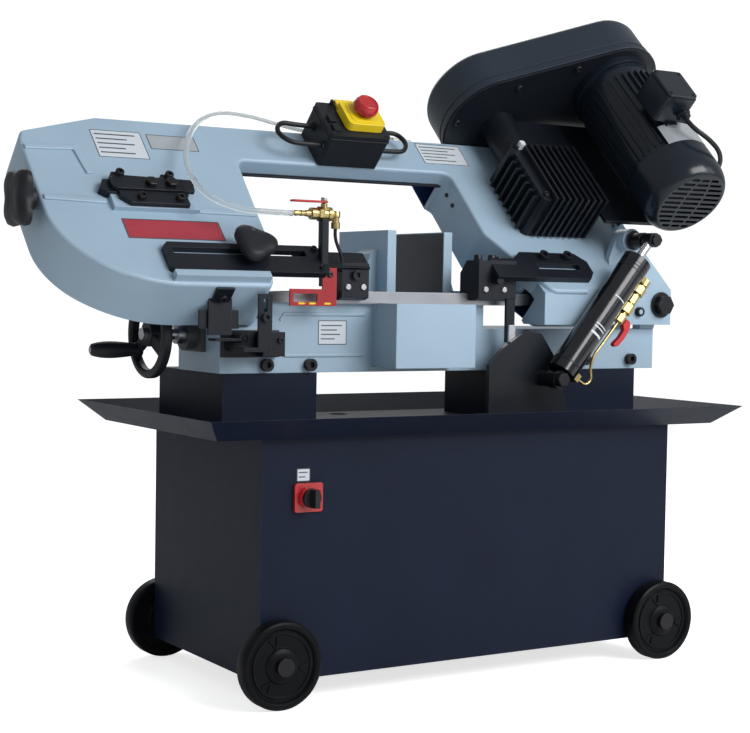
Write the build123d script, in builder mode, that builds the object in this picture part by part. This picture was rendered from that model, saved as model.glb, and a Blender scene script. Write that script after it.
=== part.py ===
"""Horizontal metal-cutting band saw: a pivoting bow on a bed, over a chip tray and a wheeled cabinet."""

from build123d import *

import math
import os

os.makedirs("parts", exist_ok=True)

# ---------------------------------------------------------------- driving dimensions, in mm
# Heights are above the floor. x and y are counted from the middle of the cabinet, which stands
# a little right of and behind the frame's origin, so that the origin is under the whole saw.
CABINET_X = 100
CABINET_Y = 6

CABINET_LENGTH = 760
CABINET_WIDTH = 363
CABINET_LOW = 36
CABINET_HIGH = 387
SHEET = 2.5

FLOOR_WHEEL_RADIUS = 64
FLOOR_WHEEL_WIDTH = 25
FLOOR_AXLE_X = 356
AXLE_RADIUS = 8
RUNNING_FIT = 0.05

TRAY_LOW = 387
TRAY_HIGH = 418
TRAY_FLOOR = (920, 396)
TRAY_RIM = (982, 482)

BED_LOW = 474
BED_HIGH = 580
BED_RIGHT_HIGH = 541
BED_FRONT = -80
BED_BACK = 130
BED_LEFT = -399
BED_RIGHT = 432
GAP = 0.3

SCREW_HEIGHT = 530
SCREW_RADIUS = 9
JAW_TOP = 695
JAW_FRONT = -40
JAW_BACK = 110
FIXED_FACE_X = 20
MOVING_FACE_X = -71
JAW_THICKNESS = 16

BLADE_Y = -90
BLADE_HEIGHT = 588
BLADE_WIDTH = 20
BLADE_THICKNESS = 0.9
BOW_TILT = 45
WHEEL_RADIUS = 142
DRIVE_X = 245
IDLER_X = -489

FACE_N = 50
WEB = 6
WALL = 7
REAR_N = -33
BEAM_REAR_N = 24
BOW_TOP = 326
BOW_LOW = -28
BEAM_LOW = 247
BOW_EDGE = 5

PIVOT = (430, 583)
PIVOT_RADIUS = 12
PISTON_PIN = (348, 690)
CYLINDER_FOOT = (157, 463)
CYLINDER_Y = -165
BARREL_RADIUS = 24
PIN_RADIUS = 8

WORM_X = 203
WORM_N = 96
WORM_RADIUS = 10
WORM_GEAR_RADIUS = 31.7
MOTOR_X = 396
MOTOR_N = 196
MOTOR_RADIUS = 74
MOTOR_TAIL_U = 34
BACK_PLATE_U = 326
COVER_U = 330
COVER_DEPTH = 90
PULLEY_U = 338
PULLEY_STEP = 14
WORM_STEPS = (72, 60, 48)
MOTOR_STEPS = (30, 42, 54)

# ---------------------------------------------------------------- reference planes
TILT = math.radians(BOW_TILT)
UP_SLOPE = (0, math.cos(TILT), math.sin(TILT))
NORMAL = (0, -math.sin(TILT), math.cos(TILT))


def bow_point(x, u, n):
    """A point given along the bow: x to the right, u up its slope, n out of its face."""
    return (
        CABINET_X + x,
        CABINET_Y + BLADE_Y + u * UP_SLOPE[1] + n * NORMAL[1],
        BLADE_HEIGHT + u * UP_SLOPE[2] + n * NORMAL[2],
    )


def level(z):
    """Horizontal plane: x right, y back, facing up."""
    return Plane((CABINET_X, CABINET_Y, z))


def front(y):
    """Upright plane: x right, z up, facing the operator."""
    return Plane((CABINET_X, CABINET_Y + y, 0), x_dir=(1, 0, 0), z_dir=(0, -1, 0))


def side(x):
    """Upright plane: y back, z up, facing right."""
    return Plane((CABINET_X + x, CABINET_Y, 0), x_dir=(0, 1, 0), z_dir=(1, 0, 0))


def bow_face(n):
    """Plane parallel to the bow's face: x right, u up the slope, facing out."""
    return Plane(bow_point(0, 0, n), x_dir=(1, 0, 0), z_dir=NORMAL)


def bow_side(x):
    """Plane across the bow's length: u up the slope, n out of the face, facing right."""
    return Plane(bow_point(x, 0, 0), x_dir=UP_SLOPE, z_dir=(1, 0, 0))


def down_slope(u):
    """Plane across the slope: x right, n out of the face, facing down the slope."""
    facing = tuple(-part for part in UP_SLOPE)
    return Plane(bow_point(0, u, 0), x_dir=(1, 0, 0), z_dir=facing)


# ---------------------------------------------------------------- shapes used again and again
def prism(plane, points, depth, mode=Mode.ADD):
    """A polygon on a plane, pushed along the plane's normal."""
    with BuildSketch(plane) as outline:
        with BuildLine():
            Polyline(*points, close=True)
        make_face()
    extrude(outline.sketch, amount=depth, mode=mode)


def slab(plane, low, high, depth, mode=Mode.ADD):
    """A rectangle between two corners, pushed along the plane's normal."""
    prism(plane, [low, (high[0], low[1]), high, (low[0], high[1])], depth, mode)


def disc(plane, centre, radius, depth, mode=Mode.ADD):
    """A circle on a plane, pushed along the plane's normal."""
    with BuildSketch(plane) as outline:
        with Locations(centre):
            Circle(radius)
    extrude(outline.sketch, amount=depth, mode=mode)


def ring(plane, centre, outer, inner, depth, mode=Mode.ADD):
    """A flat ring on a plane, pushed along the plane's normal."""
    with BuildSketch(plane) as outline:
        with Locations(centre):
            Circle(outer)
            Circle(inner, mode=Mode.SUBTRACT)
    extrude(outline.sketch, amount=depth, mode=mode)


def cap_screw(plane, centre, radius, height):
    """The head of a socket cap screw with its hexagon socket."""
    disc(plane, centre, radius, height)
    with BuildSketch(plane.offset(height * 0.45)) as socket:
        with Locations(centre):
            RegularPolygon(radius * 0.55, 6)
    extrude(socket.sketch, amount=height, mode=Mode.SUBTRACT)


def hex_head(plane, centre, radius, height):
    """The head of a hexagon bolt."""
    with BuildSketch(plane) as outline:
        with Locations(centre):
            RegularPolygon(radius, 6)
    extrude(outline.sketch, amount=height)


def save(builder, name):
    """Name a finished piece and write it."""
    builder.part.label = name
    export_step(builder.part, f"parts/{name}.step")


# ---------------------------------------------------------------- cabinet, wheels and tray
HALF_LENGTH = CABINET_LENGTH / 2
HALF_WIDTH = CABINET_WIDTH / 2
CABINET_FLOOR = 76
TURN_IN = 14

with BuildPart() as cabinet:
    height = CABINET_HIGH - CABINET_LOW
    slab(level(CABINET_LOW), (-HALF_LENGTH, -HALF_WIDTH), (HALF_LENGTH, HALF_WIDTH), height)
    inner = (HALF_LENGTH - SHEET, HALF_WIDTH - SHEET)
    slab(level(CABINET_LOW + SHEET), (-inner[0], -inner[1]), inner, CABINET_FLOOR - CABINET_LOW - 2 * SHEET,
         Mode.SUBTRACT)
    slab(level(CABINET_FLOOR), (-inner[0], -inner[1]), inner, CABINET_HIGH - CABINET_FLOOR - SHEET,
         Mode.SUBTRACT)
    throat = (HALF_LENGTH - TURN_IN, HALF_WIDTH - TURN_IN)
    slab(level(CABINET_LOW - 1), (-throat[0], -throat[1]), throat, SHEET + 2, Mode.SUBTRACT)
    slab(level(CABINET_HIGH - SHEET - 1), (-throat[0], -throat[1]), throat, SHEET + 2, Mode.SUBTRACT)
    for x in (-FLOOR_AXLE_X, FLOOR_AXLE_X):
        disc(front(HALF_WIDTH + 1), (x, FLOOR_WHEEL_RADIUS), AXLE_RADIUS, CABINET_WIDTH + 2, Mode.SUBTRACT)
save(cabinet, "cabinet")

WHEEL_GAP = 3
WHEEL_INNER_Y = HALF_WIDTH + WHEEL_GAP
AXLE_END_Y = WHEEL_INNER_Y + FLOOR_WHEEL_WIDTH + 5

with BuildPart() as wheel_axles:
    for x in (-FLOOR_AXLE_X, FLOOR_AXLE_X):
        centre = (x, FLOOR_WHEEL_RADIUS)
        disc(front(AXLE_END_Y), centre, AXLE_RADIUS, 2 * AXLE_END_Y)
        for y in (AXLE_END_Y + 3, -AXLE_END_Y + 3):
            disc(front(y), centre, 13, 6)
        for y in (WHEEL_INNER_Y - 0.5, -HALF_WIDTH):
            disc(front(y), centre, 13, WHEEL_GAP - 0.5)
save(wheel_axles, "wheel_axles")


def floor_wheel(x, inner_y, outward):
    """Solid rubber wheel with a dished hub, on its axle at x."""
    centre = (x, FLOOR_WHEEL_RADIUS)
    back = inner_y if outward < 0 else inner_y + FLOOR_WHEEL_WIDTH
    outer_face = inner_y + outward * FLOOR_WHEEL_WIDTH
    with BuildPart() as wheel:
        disc(front(back), centre, FLOOR_WHEEL_RADIUS, FLOOR_WHEEL_WIDTH)
        rims = wheel.edges().filter_by(GeomType.CIRCLE)
        fillet(rims, 5)
        start = outer_face if outward > 0 else outer_face + 6
        ring(front(start), centre, 51, 20, 6, Mode.SUBTRACT)
        disc(front(back + 1), centre, AXLE_RADIUS + RUNNING_FIT, FLOOR_WHEEL_WIDTH + 2, Mode.SUBTRACT)
    return wheel


for name, x, outward in (
    ("front_left_wheel", -FLOOR_AXLE_X, -1),
    ("front_right_wheel", FLOOR_AXLE_X, -1),
    ("rear_left_wheel", -FLOOR_AXLE_X, 1),
    ("rear_right_wheel", FLOOR_AXLE_X, 1),
):
    save(floor_wheel(x, outward * WHEEL_INNER_Y, outward), name)

TANK_LEFT, TANK_RIGHT, TANK_FRONT, TANK_BACK, TANK_HIGH = 90, 330, -120, 120, 220

with BuildPart() as coolant_tank:
    low, high = (TANK_LEFT, TANK_FRONT), (TANK_RIGHT, TANK_BACK)
    slab(level(CABINET_FLOOR), low, high, TANK_HIGH - CABINET_FLOOR)
    slab(level(CABINET_FLOOR + 3), (low[0] + 3, low[1] + 3), (high[0] - 3, high[1] - 3), TANK_HIGH,
         Mode.SUBTRACT)
save(coolant_tank, "coolant_tank")

with BuildPart() as coolant_pump:
    slab(level(TANK_HIGH), (TANK_LEFT, TANK_FRONT), (TANK_RIGHT, TANK_BACK), 4)
    disc(level(TANK_HIGH + 4), (210, 0), 52, 8)
    disc(level(TANK_HIGH + 12), (210, 0), 44, 78)
    disc(level(CABINET_FLOOR + 20), (210, 0), 30, TANK_HIGH - CABINET_FLOOR - 20)
    disc(level(TANK_HIGH + 4), (290, 60), 9, 40)
save(coolant_pump, "coolant_pump")


def tray_block(low, high, floor, rim, mode):
    """A flared block between a floor rectangle and a wider rim rectangle."""
    with BuildSketch(level(low)) as small:
        Rectangle(*floor)
    with BuildSketch(level(high)) as large:
        Rectangle(*rim)
    loft([small.sketch.face(), large.sketch.face()], mode=mode)


TRAY_FLOOR_TOP = TRAY_LOW + 3
DRAIN_AT = (-60, 150)
DRAIN_RADIUS = 16

with BuildPart() as chip_tray:
    tray_block(TRAY_LOW, TRAY_HIGH, TRAY_FLOOR, TRAY_RIM, Mode.ADD)
    inside = (TRAY_FLOOR[0] - 4, TRAY_FLOOR[1] - 4)
    inside_rim = (TRAY_RIM[0] - 4, TRAY_RIM[1] - 4)
    tray_block(TRAY_FLOOR_TOP, TRAY_HIGH, inside, inside_rim, Mode.SUBTRACT)
    disc(level(TRAY_LOW - 1), DRAIN_AT, DRAIN_RADIUS, 5, Mode.SUBTRACT)
save(chip_tray, "chip_tray")


def pedestal(left, right, back):
    """Folded sheet pedestal between the tray and the bed, open underneath."""
    height = BED_LOW - TRAY_FLOOR_TOP
    with BuildPart() as post:
        slab(level(TRAY_FLOOR_TOP), (left, BED_FRONT), (right, back), height)
        slab(level(TRAY_FLOOR_TOP - 1), (left + 3, BED_FRONT + 3), (right - 3, back - 3), height - 4,
             Mode.SUBTRACT)
    return post


save(pedestal(-394, -235, 140), "left_pedestal")
save(pedestal(150, 392, 140), "right_pedestal")

# ---------------------------------------------------------------- bed
BLOCK_LEFT, BLOCK_RIGHT, BLOCK_FRONT, BLOCK_LOW = -138, 8, -150, 482
HIGH_BED_RIGHT = 72
BED_SLOT = 8.5
LUG_RADIUS = 22
LUGS_Y = (-58, 8)
LUG_WIDTH = 20
RELIEF_RIGHT = -314
RELIEF_N = -40

with BuildPart() as bed:
    left_end = [(BED_LEFT, BED_FRONT), (HIGH_BED_RIGHT, BED_FRONT), (HIGH_BED_RIGHT, BED_BACK),
                (BED_LEFT + 60, BED_BACK), (BED_LEFT, 60)]
    prism(level(BED_LOW), left_end, BED_HIGH - BED_LOW)
    slab(level(BED_LOW), (HIGH_BED_RIGHT, BED_FRONT), (BED_RIGHT, BED_BACK), BED_RIGHT_HIGH - BED_LOW)
    slab(level(BLOCK_LOW), (BLOCK_LEFT, BLOCK_FRONT), (BLOCK_RIGHT, BED_FRONT), BED_HIGH - BLOCK_LOW)
    # hollow underside, open at the bottom
    slab(level(BED_LOW - 1), (BED_LEFT + 14, BED_FRONT + 14), (HIGH_BED_RIGHT - 14, 55), 96, Mode.SUBTRACT)
    slab(level(BED_LOW - 1), (BED_LEFT + 80, 50), (HIGH_BED_RIGHT - 14, BED_BACK - 12), 96, Mode.SUBTRACT)
    slab(level(BED_LOW - 1), (HIGH_BED_RIGHT, BED_FRONT + 14), (BED_RIGHT - 14, BED_BACK - 14), 54,
         Mode.SUBTRACT)
    slab(level(BLOCK_LOW - 1), (BLOCK_LEFT + 12, BLOCK_FRONT + 12), (BLOCK_RIGHT - 12, BED_FRONT - 12), 86,
         Mode.SUBTRACT)
    # slot that guides the moving jaw, groove under the blade, hole for the vice screw
    slab(level(BED_LOW + 80), (-358, -BED_SLOT), (6, BED_SLOT), 40, Mode.SUBTRACT)
    slab(level(BED_HIGH - 8), (BLOCK_LEFT - 1, BLADE_Y - 4), (BLOCK_RIGHT + 60, BLADE_Y + 4), 20,
         Mode.SUBTRACT)
    disc(side(BED_LEFT - 1), (0, SCREW_HEIGHT), 14, 20, Mode.SUBTRACT)
    # sloping relief under the left wheel housing
    slab(bow_face(RELIEF_N), (-520, -70), (RELIEF_RIGHT, 90), 160, Mode.SUBTRACT)
    # lugs that carry the bow's pivot
    for y in LUGS_Y:
        lug = [(PIVOT[0] - 26, BED_RIGHT_HIGH - 5), (BED_RIGHT, BED_RIGHT_HIGH - 5),
               (PIVOT[0] + LUG_RADIUS, PIVOT[1]), (PIVOT[0] - LUG_RADIUS, PIVOT[1])]
        prism(front(y), lug, LUG_WIDTH)
        disc(front(y), PIVOT, LUG_RADIUS, LUG_WIDTH)
    disc(front(60), PIVOT, PIVOT_RADIUS, 200, Mode.SUBTRACT)
save(bed, "bed")

with BuildPart() as bed_bolts:
    for x, z in ((-323, 486), (-249, 486), (280, 490), (379, 490)):
        cap_screw(front(BED_FRONT), (x, z), 9.5, 10)
save(bed_bolts, "bed_bolts")

PIVOT_FRONT = -104
PIVOT_REAR = 32

with BuildPart() as hinge_shaft:
    disc(front(PIVOT_REAR), PIVOT, PIVOT_RADIUS, PIVOT_REAR - PIVOT_FRONT)
    hex_head(front(PIVOT_FRONT), PIVOT, 17, 12)
    ring(front(PIVOT_REAR + 8), PIVOT, 18, PIVOT_RADIUS - 4, 8)
    disc(front(PIVOT_REAR + 8), PIVOT, PIVOT_RADIUS - 4, 8)
save(hinge_shaft, "hinge_shaft")

# ---------------------------------------------------------------- rotary switch on the cabinet
SWITCH_AT = (-306, 300)

with BuildPart() as rotary_switch:
    slab(front(-HALF_WIDTH), (-329, 279), (-283, 321), 5)
    fillet(rotary_switch.edges().filter_by(Axis.Y), 4)
    disc(front(-HALF_WIDTH - 5), SWITCH_AT, 17, 6)
save(rotary_switch, "rotary_switch")

with BuildPart() as rotary_knob:
    disc(front(-HALF_WIDTH - 11 - GAP), SWITCH_AT, 14, 6)
    slab(front(-HALF_WIDTH - 17 - GAP), (SWITCH_AT[0] - 4, SWITCH_AT[1] - 13),
         (SWITCH_AT[0] + 4, SWITCH_AT[1] + 13), 14)
save(rotary_knob, "rotary_knob")

# ---------------------------------------------------------------- vice
with BuildPart() as fixed_jaw:
    face = FIXED_FACE_X
    back = face + JAW_THICKNESS
    slab(level(BED_HIGH), (face, JAW_FRONT), (back, JAW_BACK), JAW_TOP - BED_HIGH)
    slab(level(BED_HIGH), (back, JAW_FRONT), (HIGH_BED_RIGHT, JAW_BACK), 12)
    for y in (-2, 74):
        prism(front(y + 6), [(back, BED_HIGH + 12), (HIGH_BED_RIGHT - 6, BED_HIGH + 12), (back, JAW_TOP - 25)], 12)
    for y in (-25, 95):
        disc(level(BED_HIGH + 12), (56, y), 8.5, 9)
save(fixed_jaw, "fixed_jaw")

NUT_LEFT, NUT_RIGHT = -132, -84

with BuildPart() as movable_jaw:
    face = MOVING_FACE_X
    back = face - JAW_THICKNESS
    foot = BED_HIGH + GAP
    slab(level(foot), (back, JAW_FRONT), (face, JAW_BACK), JAW_TOP - foot)
    slab(level(foot), (back - 52, JAW_FRONT + 12), (back, JAW_BACK - 12), 12)
    with BuildSketch(front(35)) as rib:
        with BuildLine():
            Polyline((back, foot + 12), (back - 42, foot + 12), (back - 30, foot + 26), (back - 12, foot + 78),
                     (back, foot + 86), close=True)
        make_face()
    extrude(rib.sketch, amount=44)
    # neck through the bed's slot, and the nut block on the screw
    slab(level(SCREW_HEIGHT), (NUT_LEFT, -BED_SLOT + GAP), (NUT_RIGHT, BED_SLOT - GAP), foot - SCREW_HEIGHT)
    slab(level(SCREW_HEIGHT - 18), (NUT_LEFT, -22), (NUT_RIGHT, 22), 36)
    disc(side(NUT_LEFT - 1), (0, SCREW_HEIGHT), SCREW_RADIUS + RUNNING_FIT, NUT_RIGHT - NUT_LEFT + 2,
         Mode.SUBTRACT)
save(movable_jaw, "movable_jaw")

HANDWHEEL_X = -474
BEARING_THICKNESS = 22

with BuildPart() as screw_bearing:
    start = BED_LEFT - BEARING_THICKNESS
    disc(side(start), (0, SCREW_HEIGHT), 24, BEARING_THICKNESS)
    slab(side(BED_LEFT - 8), (-34, SCREW_HEIGHT - 26), (34, SCREW_HEIGHT + 8), 8)
    disc(side(start - 1), (0, SCREW_HEIGHT), SCREW_RADIUS + RUNNING_FIT, BEARING_THICKNESS + 2, Mode.SUBTRACT)
save(screw_bearing, "screw_bearing")

SCREW_LEFT = -488
SCREW_END = 40

with BuildPart() as lead_screw:
    disc(side(SCREW_LEFT), (0, SCREW_HEIGHT), SCREW_RADIUS, SCREW_END - SCREW_LEFT)
    ring(side(BED_LEFT - BEARING_THICKNESS - GAP - 12), (0, SCREW_HEIGHT), 15, SCREW_RADIUS, 12)
    ring(side(BED_LEFT + 14 + GAP), (0, SCREW_HEIGHT), 13, SCREW_RADIUS, 10)
save(lead_screw, "lead_screw")

GRIP_Y, GRIP_Z = 44, SCREW_HEIGHT - 25
HANDWHEEL_RADIUS = 66

with BuildPart() as handwheel:
    centre = (0, SCREW_HEIGHT)
    ring(side(HANDWHEEL_X - 8), centre, HANDWHEEL_RADIUS, HANDWHEEL_RADIUS - 13, 16)
    fillet(handwheel.edges().filter_by(GeomType.CIRCLE), 5)
    disc(side(HANDWHEEL_X - 6), centre, 19, 28)
    for turn in range(3):
        angle = math.radians(90 + 120 * turn)
        across = (math.cos(angle), math.sin(angle))
        along = (-across[1], across[0])
        reach = HANDWHEEL_RADIUS - 8
        corners = []
        for out, sideways in ((10, -9), (reach, -7), (reach, 7), (10, 9)):
            corners.append((out * across[0] + sideways * along[0],
                            SCREW_HEIGHT + out * across[1] + sideways * along[1]))
        prism(side(HANDWHEEL_X - 4), corners, 8)
    disc(side(HANDWHEEL_X - 9), (GRIP_Y, GRIP_Z), 11, 14)
    disc(side(HANDWHEEL_X - 76), (GRIP_Y, GRIP_Z), 5, 72)
    disc(side(SCREW_LEFT - 1), centre, SCREW_RADIUS, 60, Mode.SUBTRACT)
save(handwheel, "handwheel")

with BuildPart() as handwheel_grip:
    with BuildSketch(Plane((CABINET_X + HANDWHEEL_X - 10, CABINET_Y + GRIP_Y, GRIP_Z), x_dir=(-1, 0, 0),
                           z_dir=(0, -1, 0))) as profile:
        with BuildLine():
            Spline((0, 10), (26, 12.5), (52, 11.5), (63, 9))
            Line((63, 9), (66, 5 + RUNNING_FIT))
            Line((66, 5 + RUNNING_FIT), (0, 5 + RUNNING_FIT))
            Line((0, 5 + RUNNING_FIT), (0, 10))
        make_face()
    grip_axis = Axis((CABINET_X, CABINET_Y + GRIP_Y, GRIP_Z), (1, 0, 0))
    revolve(profile.sketch, axis=grip_axis)
save(handwheel_grip, "handwheel_grip")

# ---------------------------------------------------------------- end-of-cut switch at the bed's left
TOGGLE_PIVOT = (-380, 527)
STRAP_FRONT = -140

with BuildPart() as shutoff_switch:
    slab(front(BED_FRONT), (-398, 498), (-306, 538), 10)
    slab(front(BED_FRONT - 10), (-344, 500), (-308, 536), 22)
    slab(front(BED_FRONT - 10), (-392, 508), (-347, 514), 54)
    slab(front(STRAP_FRONT), (-369, 508), (-347, 592), 4)
    slab(front(STRAP_FRONT + 1), (-361, 566), (-355, 584), 6, Mode.SUBTRACT)
    cap_screw(front(STRAP_FRONT - 4), (-358, 558), 7, 6)
    for x in (-336, -316):
        cap_screw(front(BED_FRONT - 32), (x, 524), 4.5, 4)
    disc(front(BED_FRONT - 10), TOGGLE_PIVOT, 3, 34)
save(shutoff_switch, "shutoff_switch")

with BuildPart() as shutoff_toggle:
    disc(front(BED_FRONT - 13), TOGGLE_PIVOT, 7, 28)
    slab(front(BED_FRONT - 17), (TOGGLE_PIVOT[0] - 46, 523), TOGGLE_PIVOT, 24)
    disc(front(BED_FRONT - 12), TOGGLE_PIVOT, 3 + RUNNING_FIT, 32, Mode.SUBTRACT)
save(shutoff_toggle, "shutoff_toggle")

# ---------------------------------------------------------------- feed cylinder
REACH = (PISTON_PIN[0] - CYLINDER_FOOT[0], PISTON_PIN[1] - CYLINDER_FOOT[1])
PIN_TO_PIN = math.hypot(*REACH)
ALONG = (REACH[0] / PIN_TO_PIN, REACH[1] / PIN_TO_PIN)
EYE_BACK = CYLINDER_Y + 11
EYE_WIDTH = 22
EYE_RADIUS = 13
BARREL_START = 14
BARREL_END = 240
CAP_END = 252
ROD_RADIUS = 7
PISTON_AT = 112
BRACKET_BACK = -122
BRACKET_SHEET = 8


def cylinder_point(along, out):
    """A point of the cylinder's middle plane: along from its foot, out to its lower right side."""
    return (
        CABINET_X + CYLINDER_FOOT[0] + along * ALONG[0] + out * ALONG[1],
        CABINET_Y + CYLINDER_Y,
        CYLINDER_FOOT[1] + along * ALONG[1] - out * ALONG[0],
    )


def across_cylinder(along):
    """Plane across the cylinder: x to the operator, y to its lower right side, facing the rod's end."""
    return Plane(cylinder_point(along, 0), x_dir=(0, -1, 0), z_dir=(ALONG[0], 0, ALONG[1]))


with BuildPart() as cylinder_bracket:
    outline = [(50, TRAY_FLOOR_TOP), (208, TRAY_FLOOR_TOP), (208, 412), (178, 500), (153, 534), (124, 540),
               (77, 512), (50, 485)]
    prism(front(BRACKET_BACK), outline, BRACKET_SHEET)
    for x in (158, 196):
        slab(front(BED_FRONT), (x, TRAY_FLOOR_TOP), (x + 8, 468), BED_FRONT - BRACKET_BACK)
    slab(level(TRAY_FLOOR_TOP), (50, BRACKET_BACK), (158, -96), 6)
    plate_front = BRACKET_BACK - BRACKET_SHEET
    disc(front(plate_front), CYLINDER_FOOT, 13, plate_front - EYE_BACK - 0.5)
    disc(front(plate_front), CYLINDER_FOOT, PIN_RADIUS, plate_front - EYE_BACK + EYE_WIDTH + 0.5)
    hex_head(front(EYE_BACK - EYE_WIDTH - 0.5), CYLINDER_FOOT, 12, 8)
save(cylinder_bracket, "cylinder_bracket")

with BuildPart() as cylinder_barrel:
    disc(front(EYE_BACK), CYLINDER_FOOT, EYE_RADIUS + 2, EYE_WIDTH)
    disc(across_cylinder(BARREL_START), (0, 0), BARREL_RADIUS, BARREL_END - BARREL_START)
    disc(across_cylinder(BARREL_END), (0, 0), BARREL_RADIUS + 0.6, CAP_END - BARREL_END)
    disc(across_cylinder(BARREL_START + 18), (0, 0), BARREL_RADIUS - 4, BARREL_END - BARREL_START - 18,
         Mode.SUBTRACT)
    disc(across_cylinder(BARREL_END - 10), (0, 0), ROD_RADIUS + RUNNING_FIT, 40, Mode.SUBTRACT)
    disc(front(EYE_BACK + 1), CYLINDER_FOOT, PIN_RADIUS + RUNNING_FIT, EYE_WIDTH + 2, Mode.SUBTRACT)
    # the spacer and the bolt head stand clear of the barrel's end
    disc(front(EYE_BACK + 30), CYLINDER_FOOT, EYE_RADIUS + 1, 30, Mode.SUBTRACT)
    disc(front(EYE_BACK - EYE_WIDTH), CYLINDER_FOOT, EYE_RADIUS + 1, 30, Mode.SUBTRACT)
save(cylinder_barrel, "cylinder_barrel")

PIN_BACK = -119
COLLAR = (-124, -150)

with BuildPart() as cylinder_rod:
    disc(across_cylinder(PISTON_AT), (0, 0), BARREL_RADIUS - 4 - GAP, 12)
    disc(across_cylinder(PISTON_AT), (0, 0), ROD_RADIUS, PIN_TO_PIN - PISTON_AT - 6)
    disc(front(EYE_BACK), PISTON_PIN, EYE_RADIUS - 1, EYE_WIDTH)
    disc(front(PIN_BACK), PISTON_PIN, PIN_RADIUS, PIN_BACK - EYE_BACK + EYE_WIDTH)
    disc(front(COLLAR[0]), PISTON_PIN, EYE_RADIUS, COLLAR[0] - COLLAR[1])
    hex_head(front(EYE_BACK - EYE_WIDTH), PISTON_PIN, 10, 6)
save(cylinder_rod, "cylinder_rod")


def tube_path(points):
    """Straight runs joined by tangent arcs, each as large as its two runs allow, and the arcs' radii."""
    places = [Vector(*point) for point in points]
    radii = []
    for before, here, after in zip(places, places[1:], places[2:]):
        turn = math.radians((here - before).get_angle(after - here))
        shorter = min((here - before).length, (after - here).length)
        radii.append(0.45 * shorter / math.tan(turn / 2))
    return places, radii


def tube(points, radius):
    """A round tube along a path of straight runs and tangent arcs."""
    places, radii = tube_path(points)
    with BuildLine() as route:
        FilletPolyline(*places, radius=radii)
    start = Plane(origin=route.line @ 0, z_dir=route.line % 0)
    with BuildSketch(start) as section:
        Circle(radius)
    sweep(section.sketch, path=route.line)


VALVE_OUT = 36
VALVE_LOW, VALVE_HIGH = 150, 240
FEED_STEM = 158

with BuildPart() as feed_valve:
    disc(across_cylinder(VALVE_LOW), (0, VALVE_OUT), 6, VALVE_HIGH - VALVE_LOW)
    for start, radius, depth in ((150, 8.5, 14), (170, 10.5, 16), (190, 8, 16), (210, 10.5, 14), (228, 9, 12)):
        with BuildSketch(across_cylinder(start)) as nut:
            with Locations((0, VALVE_OUT)):
                RegularPolygon(radius, 6)
        extrude(nut.sketch, amount=depth)
    # banjo into the barrel's top, and the fitting at its foot
    slab(across_cylinder(229), (-7, BARREL_RADIUS - 1), (7, VALVE_OUT), 10)
    slab(across_cylinder(20), (-6, BARREL_RADIUS - 1), (6, BARREL_RADIUS + 9), 13)
    disc(across_cylinder(0), (0, 0), BARREL_RADIUS, 260, Mode.SUBTRACT)
    pipe_route = [cylinder_point(along, out) for along, out in
                  ((152, VALVE_OUT), (108, 35), (76, 33), (56, 42), (44, 56), (29, 52), (26.5, 32))]
    tube(pipe_route, 2.5)
save(feed_valve, "feed_valve")

with BuildPart() as feed_lever:
    stem = Plane(cylinder_point(FEED_STEM, VALVE_OUT + 9), x_dir=(0, -1, 0), z_dir=(ALONG[1], 0, -ALONG[0]))
    disc(stem, (0, 0), 4, 9)
    prism(stem.offset(7), [(-5, -6), (5, -6), (5, 14), (4, 42), (-4, 42), (-5, 14)], 3)
save(feed_lever, "feed_lever")

# ---------------------------------------------------------------- bow casting
CENTRE_U = WHEEL_RADIUS
INSIDE_N = FACE_N - WEB
CHEEK_FRONT = (-88, 12)
CHEEK_REAR = (26, 12)
TENSION_U, TENSION_N, TENSION_RADIUS = 150, 37, 5
AXLE_BOSS_RADIUS = 26
DRIVE_SHAFT_RADIUS = 14


def bow_outline(n, shrink):
    """The bow's C-shaped outline on a plane parallel to its face, drawn in by a wall thickness."""
    with BuildSketch(bow_face(n)) as outline:
        with BuildLine():
            left_side = TangentArc((-655, 118), (-607, 17.2), tangent=(0, -1))
            TangentArc((-607, 17.2), (-480, BOW_LOW), tangent=left_side % 1)
            FilletPolyline((-480, BOW_LOW), (-345, BOW_LOW), (-319, 58), (-308, BEAM_LOW), (89, BEAM_LOW),
                           (89, 105), (165, BOW_LOW), (258, BOW_LOW), radius=16)
            CenterArc((258, 122), 150, 270, 90)
            Line((408, 122), (408, 176))
            CenterArc((258, 176), 150, 0, 90)
            FilletPolyline((258, BOW_TOP), (-522, BOW_TOP), (-648, 284), (-655, 262), (-655, 118), radius=14)
        make_face()
        if shrink:
            offset(amount=-shrink)
    return outline.sketch


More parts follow.
